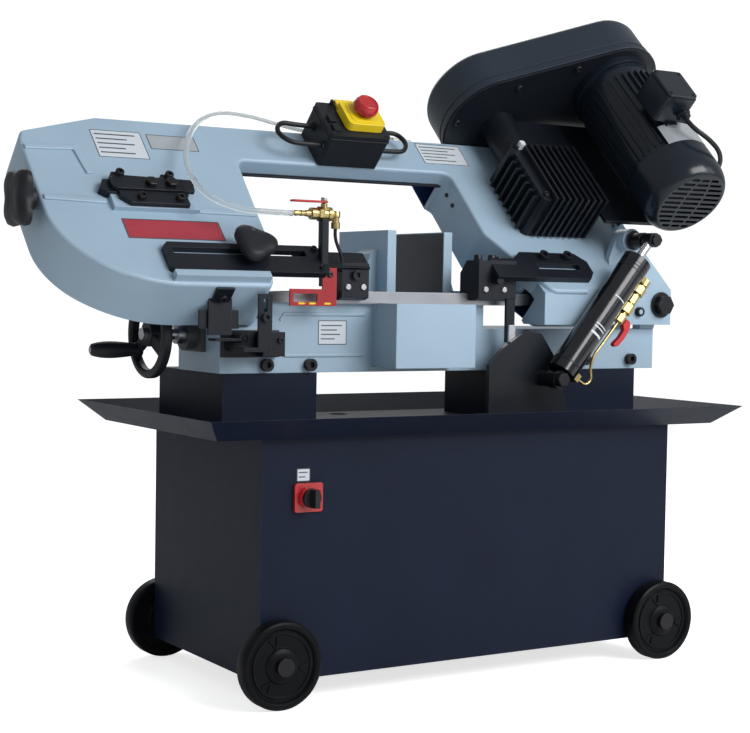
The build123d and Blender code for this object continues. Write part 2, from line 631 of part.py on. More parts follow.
with BuildPart() as bow_casting:
    extrude(bow_outline(REAR_N, 0), amount=FACE_N - REAR_N)
    fillet(bow_casting.faces().sort_by(Axis((0, 0, 0), NORMAL))[-1].outer_wire().edges(), BOW_EDGE)
    # front cheek with the piston pin's boss, rear cheek
    front_cheek = [(314, 549), (453, 549), (453, 609), (390, 673), (366, 698), (330, 698), (314, 660)]
    prism(front(CHEEK_FRONT[0]), front_cheek, CHEEK_FRONT[1])
    rear_cheek = [(412, 551), (453, 551), (453, 609), (424, 700), (392, 700), (392, 660), (412, 640)]
    prism(front(CHEEK_REAR[0]), rear_cheek, CHEEK_REAR[1])
    disc(front(CHEEK_FRONT[0]), PISTON_PIN, 20, 30)
    # foot block of the right housing, over the feed cylinder's bracket
    prism(side(150), [(-140, 549), (-84, 549), (-63, 570), (-63, 600), (-118, 618), (-140, 600)], 112)
    # flat on the lower edge where the feed cylinder swings past
    slab(front(-140), (235, 540), (460, 660), 30, Mode.SUBTRACT)
    # the inside of the housings, and the shallower rear of the beam
    extrude(bow_outline(REAR_N - 1, WALL), amount=INSIDE_N - REAR_N + 1, mode=Mode.SUBTRACT)
    slab(bow_face(REAR_N - 1), (-300, 200), (81, 340), BEAM_REAR_N - REAR_N + 1, Mode.SUBTRACT)
    # bearing boss of the drive shaft and the ribs across the beam
    disc(bow_face(26), (DRIVE_X, CENTRE_U), AXLE_BOSS_RADIUS, INSIDE_N - 26)
    for x in (-220, -110, 0):
        slab(bow_face(BEAM_REAR_N), (x, BEAM_LOW + WALL), (x + 6, BOW_TOP - WALL), INSIDE_N - BEAM_REAR_N)
    # raised seat of the tracking plates, and the ledge the guide arm slides on
    slab(bow_face(FACE_N), (-551, 118), (-418, 145), 8)
    slab(bow_face(FACE_N), (-500, -22), (-350, -10.3), 12)
    # the blade's way out of the left housing and into the right one
    slab(bow_face(REAR_N - 1), (-352, -14), (-300, 14), 50, Mode.SUBTRACT)
    slab(bow_face(REAR_N - 1), (118, -15), (182, 15), 50, Mode.SUBTRACT)
    disc(bow_face(20), (DRIVE_X, CENTRE_U), DRIVE_SHAFT_RADIUS + RUNNING_FIT, 40, Mode.SUBTRACT)
    disc(bow_face(INSIDE_N - 1), (-366, 30), 4.8 + RUNNING_FIT, 20, Mode.SUBTRACT)
    disc(bow_side(-660), (TENSION_U, TENSION_N), TENSION_RADIUS + RUNNING_FIT, 20, Mode.SUBTRACT)
    disc(front(60), PIVOT, PIVOT_RADIUS + RUNNING_FIT, 200, Mode.SUBTRACT)
    disc(front(CHEEK_FRONT[0] - CHEEK_FRONT[1]), (381, 571), 7.5, 7)
    # gland of the motor's cable
    disc(bow_face(FACE_N), (386, 133), 8, 5)
save(bow_casting, "bow_casting")

REAR_COVER_SHEET = 2

with BuildPart() as rear_cover:
    extrude(bow_outline(REAR_N - REAR_COVER_SHEET, 4), amount=REAR_COVER_SHEET)
    slab(bow_face(REAR_N - 4), (386, 96), (412, 146), 8, Mode.SUBTRACT)
    slab(bow_face(REAR_N - 4), (-300, 200), (81, 340), 8, Mode.SUBTRACT)
save(rear_cover, "rear_cover")

# ---------------------------------------------------------------- blade
BLADE_GAP = 0.1
BLADE_OUTER = WHEEL_RADIUS + BLADE_GAP + BLADE_THICKNESS
TWIST_LEFT = (-345, -250)
TWIST_RIGHT = (205, 110)
TWIST_STEPS = 6


def blade_section(x, turn):
    """The blade's cross-section at x, turned by an angle from lying flat on the wheels."""
    angle = TILT + math.radians(turn)
    through = (0, math.cos(angle), math.sin(angle))
    across = Plane(bow_point(x, -BLADE_GAP - BLADE_THICKNESS / 2, 0), x_dir=through, z_dir=(1, 0, 0))
    with BuildSketch(across) as section:
        Rectangle(BLADE_THICKNESS, BLADE_WIDTH)
    return section.sketch.face()


def blade_run(start, end, start_turn, end_turn, steps):
    """A length of blade that turns steadily between two places."""
    sections = []
    for step in range(steps + 1):
        share = step / steps
        turn = start_turn + (end_turn - start_turn) * share
        sections.append(blade_section(start + (end - start) * share, turn))
    loft(sections, ruled=True)


with BuildPart() as blade:
    with BuildSketch(bow_face(-BLADE_WIDTH / 2)) as loop:
        with Locations(((DRIVE_X + IDLER_X) / 2, CENTRE_U)):
            SlotCenterToCenter(DRIVE_X - IDLER_X, 2 * BLADE_OUTER)
            SlotCenterToCenter(DRIVE_X - IDLER_X, 2 * (WHEEL_RADIUS + BLADE_GAP), mode=Mode.SUBTRACT)
        with Locations(((TWIST_LEFT[0] + TWIST_RIGHT[0]) / 2, 0)):
            Rectangle(TWIST_RIGHT[0] - TWIST_LEFT[0], 20, mode=Mode.SUBTRACT)
    extrude(loop.sketch, amount=BLADE_WIDTH)
    blade_run(TWIST_LEFT[0], TWIST_LEFT[1], 0, -BOW_TILT, TWIST_STEPS)
    blade_run(TWIST_LEFT[1], TWIST_RIGHT[1], -BOW_TILT, -BOW_TILT, 1)
    blade_run(TWIST_RIGHT[1], TWIST_RIGHT[0], -BOW_TILT, 0, TWIST_STEPS)
save(blade, "blade")

# ---------------------------------------------------------------- blade wheels
RIM_HALF = 11
SPOKES = 6


def blade_wheel(x, bore):
    """A cast blade wheel with a flange at the blade's back and lightening holes in its web."""
    centre = (x, CENTRE_U)
    with BuildPart() as wheel:
        ring(bow_face(-RIM_HALF), centre, WHEEL_RADIUS, WHEEL_RADIUS - 14, 2 * RIM_HALF)
        ring(bow_face(RIM_HALF), centre, WHEEL_RADIUS + 4, WHEEL_RADIUS - 14, 3)
        disc(bow_face(-4), centre, WHEEL_RADIUS - 10, 8)
        disc(bow_face(-RIM_HALF - 3), centre, 30, 2 * RIM_HALF + 3)
        for hole in range(SPOKES):
            angle = math.radians(30 + 360 / SPOKES * hole)
            at = (x + 82 * math.cos(angle), CENTRE_U + 82 * math.sin(angle))
            disc(bow_face(-6), at, 26, 12, Mode.SUBTRACT)
        disc(bow_face(-RIM_HALF - 6), centre, bore, 40, Mode.SUBTRACT)
    return wheel


IDLER_AXLE_RADIUS = 12

save(blade_wheel(DRIVE_X, DRIVE_SHAFT_RADIUS), "drive_wheel")
save(blade_wheel(IDLER_X, IDLER_AXLE_RADIUS + RUNNING_FIT), "idler_wheel")

CARRIER_LOW_N, CARRIER_HIGH_N = 16, INSIDE_N - GAP

with BuildPart() as idler_carrier:
    slab(bow_face(CARRIER_LOW_N), (-530, 122), (-440, 162), CARRIER_HIGH_N - CARRIER_LOW_N)
    disc(bow_face(-26), (IDLER_X, CENTRE_U), IDLER_AXLE_RADIUS, CARRIER_LOW_N + 26)
    disc(bow_face(-19), (IDLER_X, CENTRE_U), 18, 4)
    disc(bow_side(-531), (TENSION_U, TENSION_N), TENSION_RADIUS + RUNNING_FIT, 95, Mode.SUBTRACT)
save(idler_carrier, "idler_carrier")

KNOB_LEFT = -692
LOBES = 4

with BuildPart() as tension_knob:
    with BuildSketch(bow_side(KNOB_LEFT)) as lobed:
        with Locations((TENSION_U, TENSION_N)):
            Circle(32)
            with PolarLocations(31, LOBES, start_angle=45):
                Circle(14)
    extrude(lobed.sketch, amount=22)
    fillet(tension_knob.faces().sort_by(Axis.X)[0].outer_wire().edges(), 4)
    disc(bow_side(KNOB_LEFT + 22), (TENSION_U, TENSION_N), 14, 14)
    disc(bow_side(KNOB_LEFT + 30), (TENSION_U, TENSION_N), TENSION_RADIUS, 205)
save(tension_knob, "tension_knob")

# ---------------------------------------------------------------- worm drive
GEAR_LOW_N, GEAR_HIGH_N = 86, 106
BOX_LEFT, BOX_RIGHT, BOX_LOW, BOX_HIGH, BOX_TOP_N = 166, 304, 100, 240, 130
BOX_WALL = 8
WORM_END_U = 116

with BuildPart() as worm_gear:
    disc(bow_face(-30), (DRIVE_X, CENTRE_U), DRIVE_SHAFT_RADIUS, 142)
    ring(bow_face(GEAR_LOW_N), (DRIVE_X, CENTRE_U), WORM_GEAR_RADIUS, DRIVE_SHAFT_RADIUS,
         GEAR_HIGH_N - GEAR_LOW_N)
    disc(bow_face(-RIM_HALF - 3 - 7), (DRIVE_X, CENTRE_U), 20, 7)
save(worm_gear, "worm_gear")

WORM_AT = (WORM_X, WORM_N)
MOTOR_AT = (MOTOR_X, MOTOR_N)
STEPS = len(WORM_STEPS)
PULLEY_END_U = PULLEY_U + STEPS * PULLEY_STEP

with BuildPart() as worm_shaft:
    disc(down_slope(PULLEY_END_U + 6), WORM_AT, WORM_RADIUS, PULLEY_END_U + 6 - WORM_END_U)
save(worm_shaft, "worm_shaft")

with BuildPart() as gearbox_housing:
    slab(bow_face(FACE_N), (BOX_LEFT, BOX_LOW), (BOX_RIGHT, BOX_HIGH), BOX_TOP_N - FACE_N)
    fillet(gearbox_housing.edges().filter_by(Axis(bow_point(0, 0, 0), NORMAL)), 8)
    disc(down_slope(BACK_PLATE_U), WORM_AT, 30, BACK_PLATE_U - BOX_HIGH)
    for count in range(9):
        x = 184 + 13 * count
        slab(bow_side(x), (BOX_LOW - 6, FACE_N + 4), (BOX_HIGH - 10, BOX_TOP_N + 10), 4)
    for count in range(7):
        u = 112 + 17 * count
        slab(down_slope(u + 4), (BOX_LEFT - 10, FACE_N + 4), (BOX_LEFT + 2, BOX_TOP_N - 6), 4)
    low = (BOX_LEFT + BOX_WALL, BOX_LOW + BOX_WALL)
    high = (BOX_RIGHT - BOX_WALL, BOX_HIGH - BOX_WALL)
    slab(bow_face(FACE_N - 1), low, high, BOX_TOP_N - BOX_WALL - FACE_N + 1, Mode.SUBTRACT)
    disc(down_slope(BACK_PLATE_U + 1), WORM_AT, WORM_RADIUS + RUNNING_FIT, 110, Mode.SUBTRACT)
save(gearbox_housing, "gearbox_housing")


def stepped_pulley(at, steps, shaft_radius):
    """A three-step belt pulley, its largest or smallest step nearest the gearbox."""
    with BuildPart() as pulley:
        for count, radius in enumerate(steps):
            high = PULLEY_U + (count + 1) * PULLEY_STEP
            disc(down_slope(high), at, radius, PULLEY_STEP)
            for flange_high in (high, high - PULLEY_STEP + 2):
                disc(down_slope(flange_high), at, radius + 5, 2)
        disc(down_slope(PULLEY_END_U + 20), at, shaft_radius, 200, Mode.SUBTRACT)
    return pulley


save(stepped_pulley(WORM_AT, WORM_STEPS, WORM_RADIUS), "worm_pulley")

MOTOR_SHAFT_RADIUS = 9.5
MOTOR_SHAFT_LOW = 290

with BuildPart() as motor_pulley:
    pulley = stepped_pulley(MOTOR_AT, MOTOR_STEPS, 0.5)
    add(pulley.part)
    disc(down_slope(PULLEY_END_U + 4), MOTOR_AT, MOTOR_SHAFT_RADIUS, PULLEY_END_U + 4 - MOTOR_SHAFT_LOW)
save(motor_pulley, "motor_pulley")


def around_pulleys(plane, worm_radius, motor_radius):
    """The outline of a loop stretched over both pulley centres."""
    with BuildSketch(plane) as loop:
        with Locations(WORM_AT):
            Circle(worm_radius)
        with Locations(MOTOR_AT):
            Circle(motor_radius)
        make_hull()
    return loop.sketch


with BuildPart() as drive_belt:
    plane = down_slope(PULLEY_U + PULLEY_STEP - 2.5)
    extrude(around_pulleys(plane, WORM_STEPS[0] + 8, MOTOR_STEPS[0] + 8), amount=9)
    extrude(around_pulleys(plane, WORM_STEPS[0] + GAP, MOTOR_STEPS[0] + GAP), amount=9, mode=Mode.SUBTRACT)
save(drive_belt, "drive_belt")

# ---------------------------------------------------------------- motor and belt cover
COVER_RADII = (98, 86)
COVER_SHEET = 2.5

with BuildPart() as belt_back_plate:
    extrude(around_pulleys(down_slope(COVER_U), *COVER_RADII), amount=COVER_U - BACK_PLATE_U)
    disc(down_slope(COVER_U + 1), WORM_AT, WORM_RADIUS + 4, 8, Mode.SUBTRACT)
    disc(down_slope(COVER_U + 1), MOTOR_AT, MOTOR_SHAFT_RADIUS + 4, 8, Mode.SUBTRACT)
save(belt_back_plate, "belt_back_plate")

COVER_TOP_U = COVER_U + COVER_DEPTH
COVER_EDGE = 18


def cover_block(shrink):
    """The belt cover's outer shape, or its inside when drawn in by the sheet's thickness."""
    radii = [radius - shrink for radius in COVER_RADII]
    with BuildPart() as block:
        extrude(around_pulleys(down_slope(COVER_TOP_U - shrink), *radii), amount=COVER_DEPTH)
        fillet(block.faces().sort_by(Axis((0, 0, 0), UP_SLOPE))[-1].outer_wire().edges(), COVER_EDGE - shrink)
    return block.part


cover_inside = cover_block(COVER_SHEET)
with BuildPart() as belt_cover:
    add(cover_block(0))
    add(cover_inside, mode=Mode.SUBTRACT)
save(belt_cover, "belt_cover")

MOTOR_LOW_U = 110
FLANGE_U = 312

with BuildPart() as motor_body:
    disc(down_slope(BACK_PLATE_U), MOTOR_AT, MOTOR_RADIUS, BACK_PLATE_U - FLANGE_U)
    disc(down_slope(FLANGE_U), MOTOR_AT, MOTOR_RADIUS - 6, FLANGE_U - MOTOR_LOW_U)
    for count in range(36):
        angle = math.radians(10 * count)
        with BuildSketch(down_slope(FLANGE_U - 22)) as fin:
            with Locations(MOTOR_AT):
                with Locations(Location((0, 0, 0), (0, 0, 10 * count))):
                    with Locations((MOTOR_RADIUS - 5, 0)):
                        Rectangle(9, 2.4)
        extrude(fin.sketch, amount=FLANGE_U - 22 - MOTOR_LOW_U - 10)
    slab(bow_face(MOTOR_N + 40), (MOTOR_X - 30, 145), (MOTOR_X + 6, 222), MOTOR_RADIUS - 40)
    disc(down_slope(BACK_PLATE_U + 1), MOTOR_AT, MOTOR_SHAFT_RADIUS + RUNNING_FIT, 60, Mode.SUBTRACT)
save(motor_body, "motor_body")

GRILLE_RADIUS = 60
GRILLE_BAR = 5
GRILLE_PITCH = 14

with BuildPart() as fan_cover:
    disc(down_slope(MOTOR_LOW_U), MOTOR_AT, MOTOR_RADIUS, MOTOR_LOW_U - MOTOR_TAIL_U)
    fillet(fan_cover.faces().sort_by(Axis((0, 0, 0), UP_SLOPE))[0].outer_wire().edges(), 10)
    disc(down_slope(MOTOR_LOW_U + 1), MOTOR_AT, MOTOR_RADIUS - 3, MOTOR_LOW_U - MOTOR_TAIL_U - 2, Mode.SUBTRACT)
    # air slots in three columns, as long as the round end allows
    for row in range(-3, 4):
        reach = math.sqrt(GRILLE_RADIUS**2 - (GRILLE_PITCH * row) ** 2)
        slot = (2 * reach - 2 * GRILLE_BAR) / 3
        for column in range(3):
            left = MOTOR_X - reach + column * (slot + GRILLE_BAR)
            low_n = MOTOR_N + GRILLE_PITCH * row - 3
            slab(down_slope(MOTOR_TAIL_U + 4), (left, low_n), (left + slot, low_n + 6), 8, Mode.SUBTRACT)
save(fan_cover, "fan_cover")

with BuildPart() as terminal_box:
    slab(bow_face(MOTOR_N + MOTOR_RADIUS), (339, 150), (402, 217), 48)
    fillet(terminal_box.edges().filter_by(Axis(bow_point(0, 0, 0), NORMAL)), 6)
    disc(down_slope(150), (384, MOTOR_N + MOTOR_RADIUS + 22), 10, 14)
save(terminal_box, "terminal_box")

# ---------------------------------------------------------------- left blade guide on its sliding arm
ARM_LOW_N = FACE_N + GAP
ARM_HIGH_N = ARM_LOW_N + 10
CLAMP_AT = (-366, 30)
CLAMP_STUD_RADIUS = 4.8

with BuildPart() as guide_arm:
    arm = [(-494, -10), (-254, -10), (-246, -2), (-246, 39), (-254, 47), (-494, 47), (-502, 39), (-502, -2)]
    prism(bow_face(ARM_LOW_N), arm, 10)
    slab(bow_face(ARM_LOW_N - 1), (-490, 24), (-275, 36), 12, Mode.SUBTRACT)
    for u in (0, 40):
        cap_screw(bow_face(ARM_HIGH_N), (-258, u), 4.5, 4)
save(guide_arm, "guide_arm")

with BuildPart() as clamp_knob:
    disc(bow_face(INSIDE_N), CLAMP_AT, CLAMP_STUD_RADIUS, 26)
    disc(bow_face(ARM_HIGH_N + GAP), CLAMP_AT, 14, 8)
    with BuildSketch(bow_face(ARM_HIGH_N + 8)) as lobed:
        with Locations(CLAMP_AT):
            Circle(24)
            with PolarLocations(22, LOBES):
                Circle(10)
    extrude(lobed.sketch, amount=20)
save(clamp_knob, "clamp_knob")

GUIDE_SLOT = 1.5

with BuildPart() as left_guide:
    slab(bow_face(40), (-285, 14), (-165, 46), 10)
    prism(side(-212), [(-112, 588), (-100, 584), (-68, 584), (-68, 622), (-84, 640), (-112, 640)], 47)
    for x in (-202, -175):
        disc(front(BLADE_Y - GUIDE_SLOT), (x, 604), 11, 8)
        disc(front(BLADE_Y + GUIDE_SLOT + 8), (x, 604), 11, 8)
    slab(level(560), (-213, BLADE_Y - GUIDE_SLOT), (-164, BLADE_Y + GUIDE_SLOT), 39.5, Mode.SUBTRACT)
    cap_screw(front(-112), (-188, 622), 8, 6)
save(left_guide, "left_guide")

with BuildPart() as blade_guard:
    slab(front(-115), (-249, 576), (-225, 632), 3)
    slab(front(-115), (-304, 575), (-225, 600), 3)
    slab(front(-114), (-298, 581), (-258, 593), 5, Mode.SUBTRACT)
    slab(bow_face(ARM_LOW_N), (-260, -60), (-200, 90), 60, Mode.SUBTRACT)
save(blade_guard, "blade_guard")

VALVE_Y = -120
BARB_Z = 711

with BuildPart() as coolant_valve:
    disc(level(636), (-250, VALVE_Y), 6, BARB_Z - 636)
    disc(level(664), (-250, VALVE_Y), 9, 8)
    disc(side(-262), (VALVE_Y, BARB_Z), 10, 24)
    hexagon = Plane((CABINET_X - 250, CABINET_Y + VALVE_Y, 696), x_dir=(1, 0, 0), z_dir=(0, 0, 1))
    hex_head(hexagon, (0, 0), 11, 12)
    disc(side(-302), (VALVE_Y, BARB_Z), 3.5, 42)
    for x in (-300, -292, -284):
        disc(side(x), (VALVE_Y, BARB_Z), 4.4, 4)
    disc(side(-274), (VALVE_Y, BARB_Z), 8, 12)
    tube([(CABINET_X + x, CABINET_Y + y, z) for x, y, z in
          ((-238, VALVE_Y, BARB_Z), (-224, VALVE_Y, BARB_Z), (-220, VALVE_Y + 1, 690), (-216, VALVE_Y + 2, 641))],
         3)
    slab(bow_face(ARM_HIGH_N - 60), (-262, -60), (-239, 90), 60, Mode.SUBTRACT)
    disc(level(BARB_Z + 8), (-250, VALVE_Y), 4, 8)
save(coolant_valve, "coolant_valve")

with BuildPart() as valve_lever:
    slab(level(BARB_Z + 16 + GAP), (-300, VALVE_Y - 5), (-244, VALVE_Y + 5), 2.5)
    disc(level(BARB_Z + 16 + GAP), (-250, VALVE_Y), 8, 5)
save(valve_lever, "valve_lever")

# ---------------------------------------------------------------- fixed right blade guide
with BuildPart() as right_guide:
    plate = [(60, -8), (246, -8), (258, 6), (258, 32), (240, 50), (128, 50), (108, 34), (60, 34)]
    prism(bow_face(FACE_N), plate, 10)
    slab(bow_face(FACE_N - 1), (150, 12), (236, 24), 20, Mode.SUBTRACT)
    prism(side(35), [(-118, 590), (-106, 586), (-66, 586), (-66, 630), (-84, 650), (-118, 650)], 73)
    for x in (48, 84):
        disc(front(BLADE_Y - GUIDE_SLOT), (x, 604), 11, 8)
        disc(front(BLADE_Y + GUIDE_SLOT + 8), (x, 604), 11, 8)
    slab(front(-110), (92, 520), (108, 600), 6)
    disc(front(-118), (66, 618), 6, 16)
    slab(level(560), (34, BLADE_Y - GUIDE_SLOT), (109, BLADE_Y + GUIDE_SLOT), 39.5, Mode.SUBTRACT)
    for x in (170, 218):
        cap_screw(bow_face(FACE_N + 10), (x, 38), 9, 9)
save(right_guide, "right_guide")

# ---------------------------------------------------------------- controls on the beam
PANEL_LOW, PANEL_HIGH = (-167, 245), (-56, 325)
PANEL_TOP_N = 114
CABLE_N = 70
ESTOP_AT = (-101, 285)
FLAP_HINGE_U = 322

with BuildPart() as switch_box:
    slab(bow_face(FACE_N), PANEL_LOW, PANEL_HIGH, PANEL_TOP_N - FACE_N)
    fillet(switch_box.edges().filter_by(Axis(bow_point(0, 0, 0), NORMAL)), 6)
    slab(bow_face(FACE_N - 1), (PANEL_LOW[0] + 3, PANEL_LOW[1] + 3), (PANEL_HIGH[0] - 3, PANEL_HIGH[1] - 3),
         PANEL_TOP_N - FACE_N - 2, Mode.SUBTRACT)
    slab(bow_face(PANEL_TOP_N), (-160, 252), (-148, 268), 5)
    slab(bow_face(PANEL_TOP_N), (-160, 274), (-148, 290), 5)
    disc(bow_side(-140), (FLAP_HINGE_U, PANEL_TOP_N + 5), 2, 78)
    # cable glands
    for u in (300, 256):
        disc(bow_side(-171), (u, CABLE_N + 14), 7, 5)
    disc(bow_side(-57), (312, CABLE_N), 7, 5)
    disc(bow_side(-57), (268, CABLE_N), 7, 5)
    for x in (-140, -66):
        slab(bow_face(PANEL_TOP_N), (x, FLAP_HINGE_U - 3), (x + 4, FLAP_HINGE_U + 3), 8)
save(switch_box, "switch_box")

with BuildPart() as estop_flap:
    low, high = (-135, 258), (-67, 312)
    slab(bow_face(PANEL_TOP_N + GAP), low, high, 16)
    slab(bow_face(PANEL_TOP_N + GAP - 1), (low[0] + 3, low[1] + 3), (high[0] - 3, high[1] - 3), 14,
         Mode.SUBTRACT)
    slab(bow_face(PANEL_TOP_N + 2.4), (-134, 310), (-68, FLAP_HINGE_U + 4), 6)
    disc(bow_side(-136), (FLAP_HINGE_U, PANEL_TOP_N + 5), 2 + RUNNING_FIT, 72, Mode.SUBTRACT)
    disc(bow_face(PANEL_TOP_N + 10), ESTOP_AT, 8 + RUNNING_FIT, 10, Mode.SUBTRACT)
save(estop_flap, "estop_flap")

with BuildPart() as stop_mushroom:
    disc(bow_face(PANEL_TOP_N + 10), ESTOP_AT, 8, 20)
    disc(bow_face(PANEL_TOP_N + 22), ESTOP_AT, 21, 20)
    fillet(stop_mushroom.faces().sort_by(Axis((0, 0, 0), NORMAL))[-1].outer_wire().edges(), 7)
save(stop_mushroom, "stop_mushroom")

with BuildPart() as trip_bracket:
    slab(front(-122), (-440, 532), (-403, 600), 4)
    slab(bow_face(REAR_N), (-460, BOW_LOW), (-380, 60), 120, Mode.SUBTRACT)
save(trip_bracket, "trip_bracket")

# ---------------------------------------------------------------- cables and coolant hose

def cable(points, n):
    """A cable lying parallel to the bow's face, given by its points along the bow."""
    tube([bow_point(x, u, n) for x, u in points], CABLE_RADIUS)


CABLE_RADIUS = 4

with BuildPart() as control_cables:
    cable([(-171.5, 300), (-198, 301), (-226, 305), (-241, 281), (-227, 258), (-198, 255), (-171.5, 256)],
          CABLE_N + 14)
    cable([(-51.5, 312), (-30, 312), (2, 318), (15, 296), (1, 270), (-24, 268), (-51.5, 268)], CABLE_N)
    # from the terminal box round the motor to the right housing
    motor_route = [(384, 135.5, 292), (386, 114, 291), (411, 94, 287), (449, 88, 266), (478, 94, 230),
                   (485, 104, 186), (468, 114, 142), (436, 122, 110), (404, 128, 92), (388, 132, 74),
                   (386, 133, 55.5)]
    tube([bow_point(*point) for point in motor_route], CABLE_RADIUS)
save(control_cables, "control_cables")

HOSE_RADIUS = 4.5
CONNECTOR_X = 18
CONNECTOR_AT = (334.5, 38)

with BuildPart() as coolant_hose:
    hose_route = [(-302.4, 66.5, 106.5), (-330, 66.5, 106.5), (-385, 76, 100), (-426, 110, 95), (-432, 170, 88),
                  (-410, 236, 80), (-372, 300, 72), (-320, 340, 64), (-262, 349, 56), (-206, 343, 48),
                  (-150, 336, 42), (-94, 334, 38), (-38, 333.5, 39.5), (CONNECTOR_X, *CONNECTOR_AT)]
    tube([bow_point(*point) for point in hose_route], HOSE_RADIUS)
    # connector where the hose meets the run from the pump
    disc(bow_side(CONNECTOR_X), CONNECTOR_AT, 7, 12)
    disc(bow_side(CONNECTOR_X + 12), CONNECTOR_AT, 8, 8)
    disc(bow_side(CONNECTOR_X + 20), CONNECTOR_AT, 5.5, 18)
save(coolant_hose, "coolant_hose")
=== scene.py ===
"""Horizontal metal-cutting band saw: the looks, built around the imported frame."""

import math

import bmesh
import bpy
from mathutils import Matrix, Vector


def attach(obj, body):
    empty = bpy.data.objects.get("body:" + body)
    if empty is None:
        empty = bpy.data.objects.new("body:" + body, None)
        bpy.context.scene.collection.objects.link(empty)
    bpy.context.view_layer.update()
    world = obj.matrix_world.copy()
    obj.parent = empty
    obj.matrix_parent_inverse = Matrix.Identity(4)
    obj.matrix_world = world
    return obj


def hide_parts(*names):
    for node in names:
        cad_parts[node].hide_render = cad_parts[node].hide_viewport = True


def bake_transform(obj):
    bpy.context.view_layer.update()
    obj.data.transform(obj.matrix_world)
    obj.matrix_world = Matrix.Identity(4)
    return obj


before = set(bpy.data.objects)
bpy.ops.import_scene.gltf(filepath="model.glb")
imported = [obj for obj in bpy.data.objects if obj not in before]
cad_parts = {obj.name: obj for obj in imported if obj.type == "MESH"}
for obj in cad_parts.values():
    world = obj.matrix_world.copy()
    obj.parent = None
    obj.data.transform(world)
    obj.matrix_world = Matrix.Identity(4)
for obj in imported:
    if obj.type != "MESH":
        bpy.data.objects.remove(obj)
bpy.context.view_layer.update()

# ------------------------ the saw's own frames, lengths in mm
CABINET = Vector((100, 6, 0))
HALF = math.sqrt(0.5)
UP_SLOPE = Vector((0, HALF, HALF))
NORMAL = Vector((0, -HALF, HALF))
RIGHT = Vector((1, 0, 0))
BACK = Vector((0, 1, 0))
UP = Vector((0, 0, 1))
FRONT = -BACK
BLADE_LINE = Vector((0, -90, 588))
FACE = 50
WHEEL_RADIUS = 142
DRIVE_X, IDLER_X = 245, -489
WORM_AT, MOTOR_AT = (203, 96), (396, 196)
FOOT, PISTON = (157, 463), (348, 690)
CYLINDER_Y = -165
REACH = Vector((PISTON[0] - FOOT[0], 0, PISTON[1] - FOOT[1]))
ALONG = REACH.normalized()
ASIDE = Vector((ALONG.z, 0, -ALONG.x))


def cabinet_point(x, y, z):
    """A point counted from the cabinet's middle, in mm, in the row frame."""
    return CABINET + Vector((x, y, z))


def bow_point(x, u, n):
    """A point along the bow: x right, u up its slope, n out of its face, in mm."""
    return CABINET + BLADE_LINE + Vector((x, 0, 0)) + UP_SLOPE * u + NORMAL * n


def cylinder_point(along, out, y=CYLINDER_Y):
    """A point along the feed cylinder from its foot, and out to its lower right side."""
    return cabinet_point(FOOT[0], y, FOOT[1]) + ALONG * along + ASIDE * out


def axes(origin, x, z):
    """Matrix from local mm, with the given x and z directions, to the row frame in metres."""
    z = z.normalized()
    x = (x - z * x.dot(z)).normalized()
    y = z.cross(x)
    turned = Matrix((x, y, z)).transposed().to_4x4()
    return Matrix.Scale(0.001, 4) @ Matrix.Translation(origin) @ turned


def on_face(x, u, n):
    """At a point along the bow: x right, y up its slope, z out of its face."""
    return axes(bow_point(x, u, n), RIGHT, NORMAL)


def down_slope(x, u, n):
    """At a point along the bow: x right, z down its slope."""
    return axes(bow_point(x, u, n), RIGHT, -UP_SLOPE)


def facing(x, y, z):
    """At a point from the cabinet: x right, y up, z towards the operator."""
    return axes(cabinet_point(x, y, z), RIGHT, FRONT)


def upright(x, y, z):
    """At a point from the cabinet: x right, y to the back, z up."""
    return axes(cabinet_point(x, y, z), RIGHT, UP)


# ------------------------ materials
# noise scales, in waves per metre, and the widths of worn edges in metres
CLOUD_SCALE, GLOSS_SCALE, WORN_SCALE = 9, 35, 60
WORN_WIDTH = 0.0014
COAT_ROUGHNESS = 0.12


def new_material(name):
    material = bpy.data.materials.new(name)
    material.use_nodes = True
    tree = material.node_tree
    shader = tree.nodes["Principled BSDF"]
    return material, tree, shader


def link(tree, source, target):
    tree.links.new(source, target)


def object_noise(tree, scale, detail=3.0, stretch=(1, 1, 1), kind="noise"):
    """Noise in the object's own coordinates, one unit a metre."""
    where = tree.nodes.new("ShaderNodeTexCoord")
    spread = tree.nodes.new("ShaderNodeMapping")
    spread.inputs["Scale"].default_value = stretch
    link(tree, where.outputs["Object"], spread.inputs["Vector"])
    if kind == "cells":
        texture = tree.nodes.new("ShaderNodeTexVoronoi")
        texture.inputs["Scale"].default_value = scale
        link(tree, spread.outputs["Vector"], texture.inputs["Vector"])
        return texture.outputs["Distance"]
    texture = tree.nodes.new("ShaderNodeTexNoise")
    texture.inputs["Scale"].default_value = scale
    texture.inputs["Detail"].default_value = detail
    link(tree, spread.outputs["Vector"], texture.inputs["Vector"])
    return texture.outputs["Fac"]


def ramp(tree, value, low, high, dark=(0, 0, 0, 1), light=(1, 1, 1, 1)):
    """A colour ramp from dark at low to light at high."""
    node = tree.nodes.new("ShaderNodeValToRGB")
    node.color_ramp.elements[0].position = low
    node.color_ramp.elements[0].color = dark
    node.color_ramp.elements[1].position = high
    node.color_ramp.elements[1].color = light
    link(tree, value, node.inputs["Fac"])
    return node.outputs["Color"]


def mixed(tree, share, first, second):
    """A colour between two, by a share."""
    node = tree.nodes.new("ShaderNodeMix")
    node.data_type = "RGBA"
    for value, socket in ((share, node.inputs[0]), (first, node.inputs[6]), (second, node.inputs[7])):
        if isinstance(value, (tuple, float, int)):
            socket.default_value = value
        else:
            link(tree, value, socket)
    return node.outputs[2]


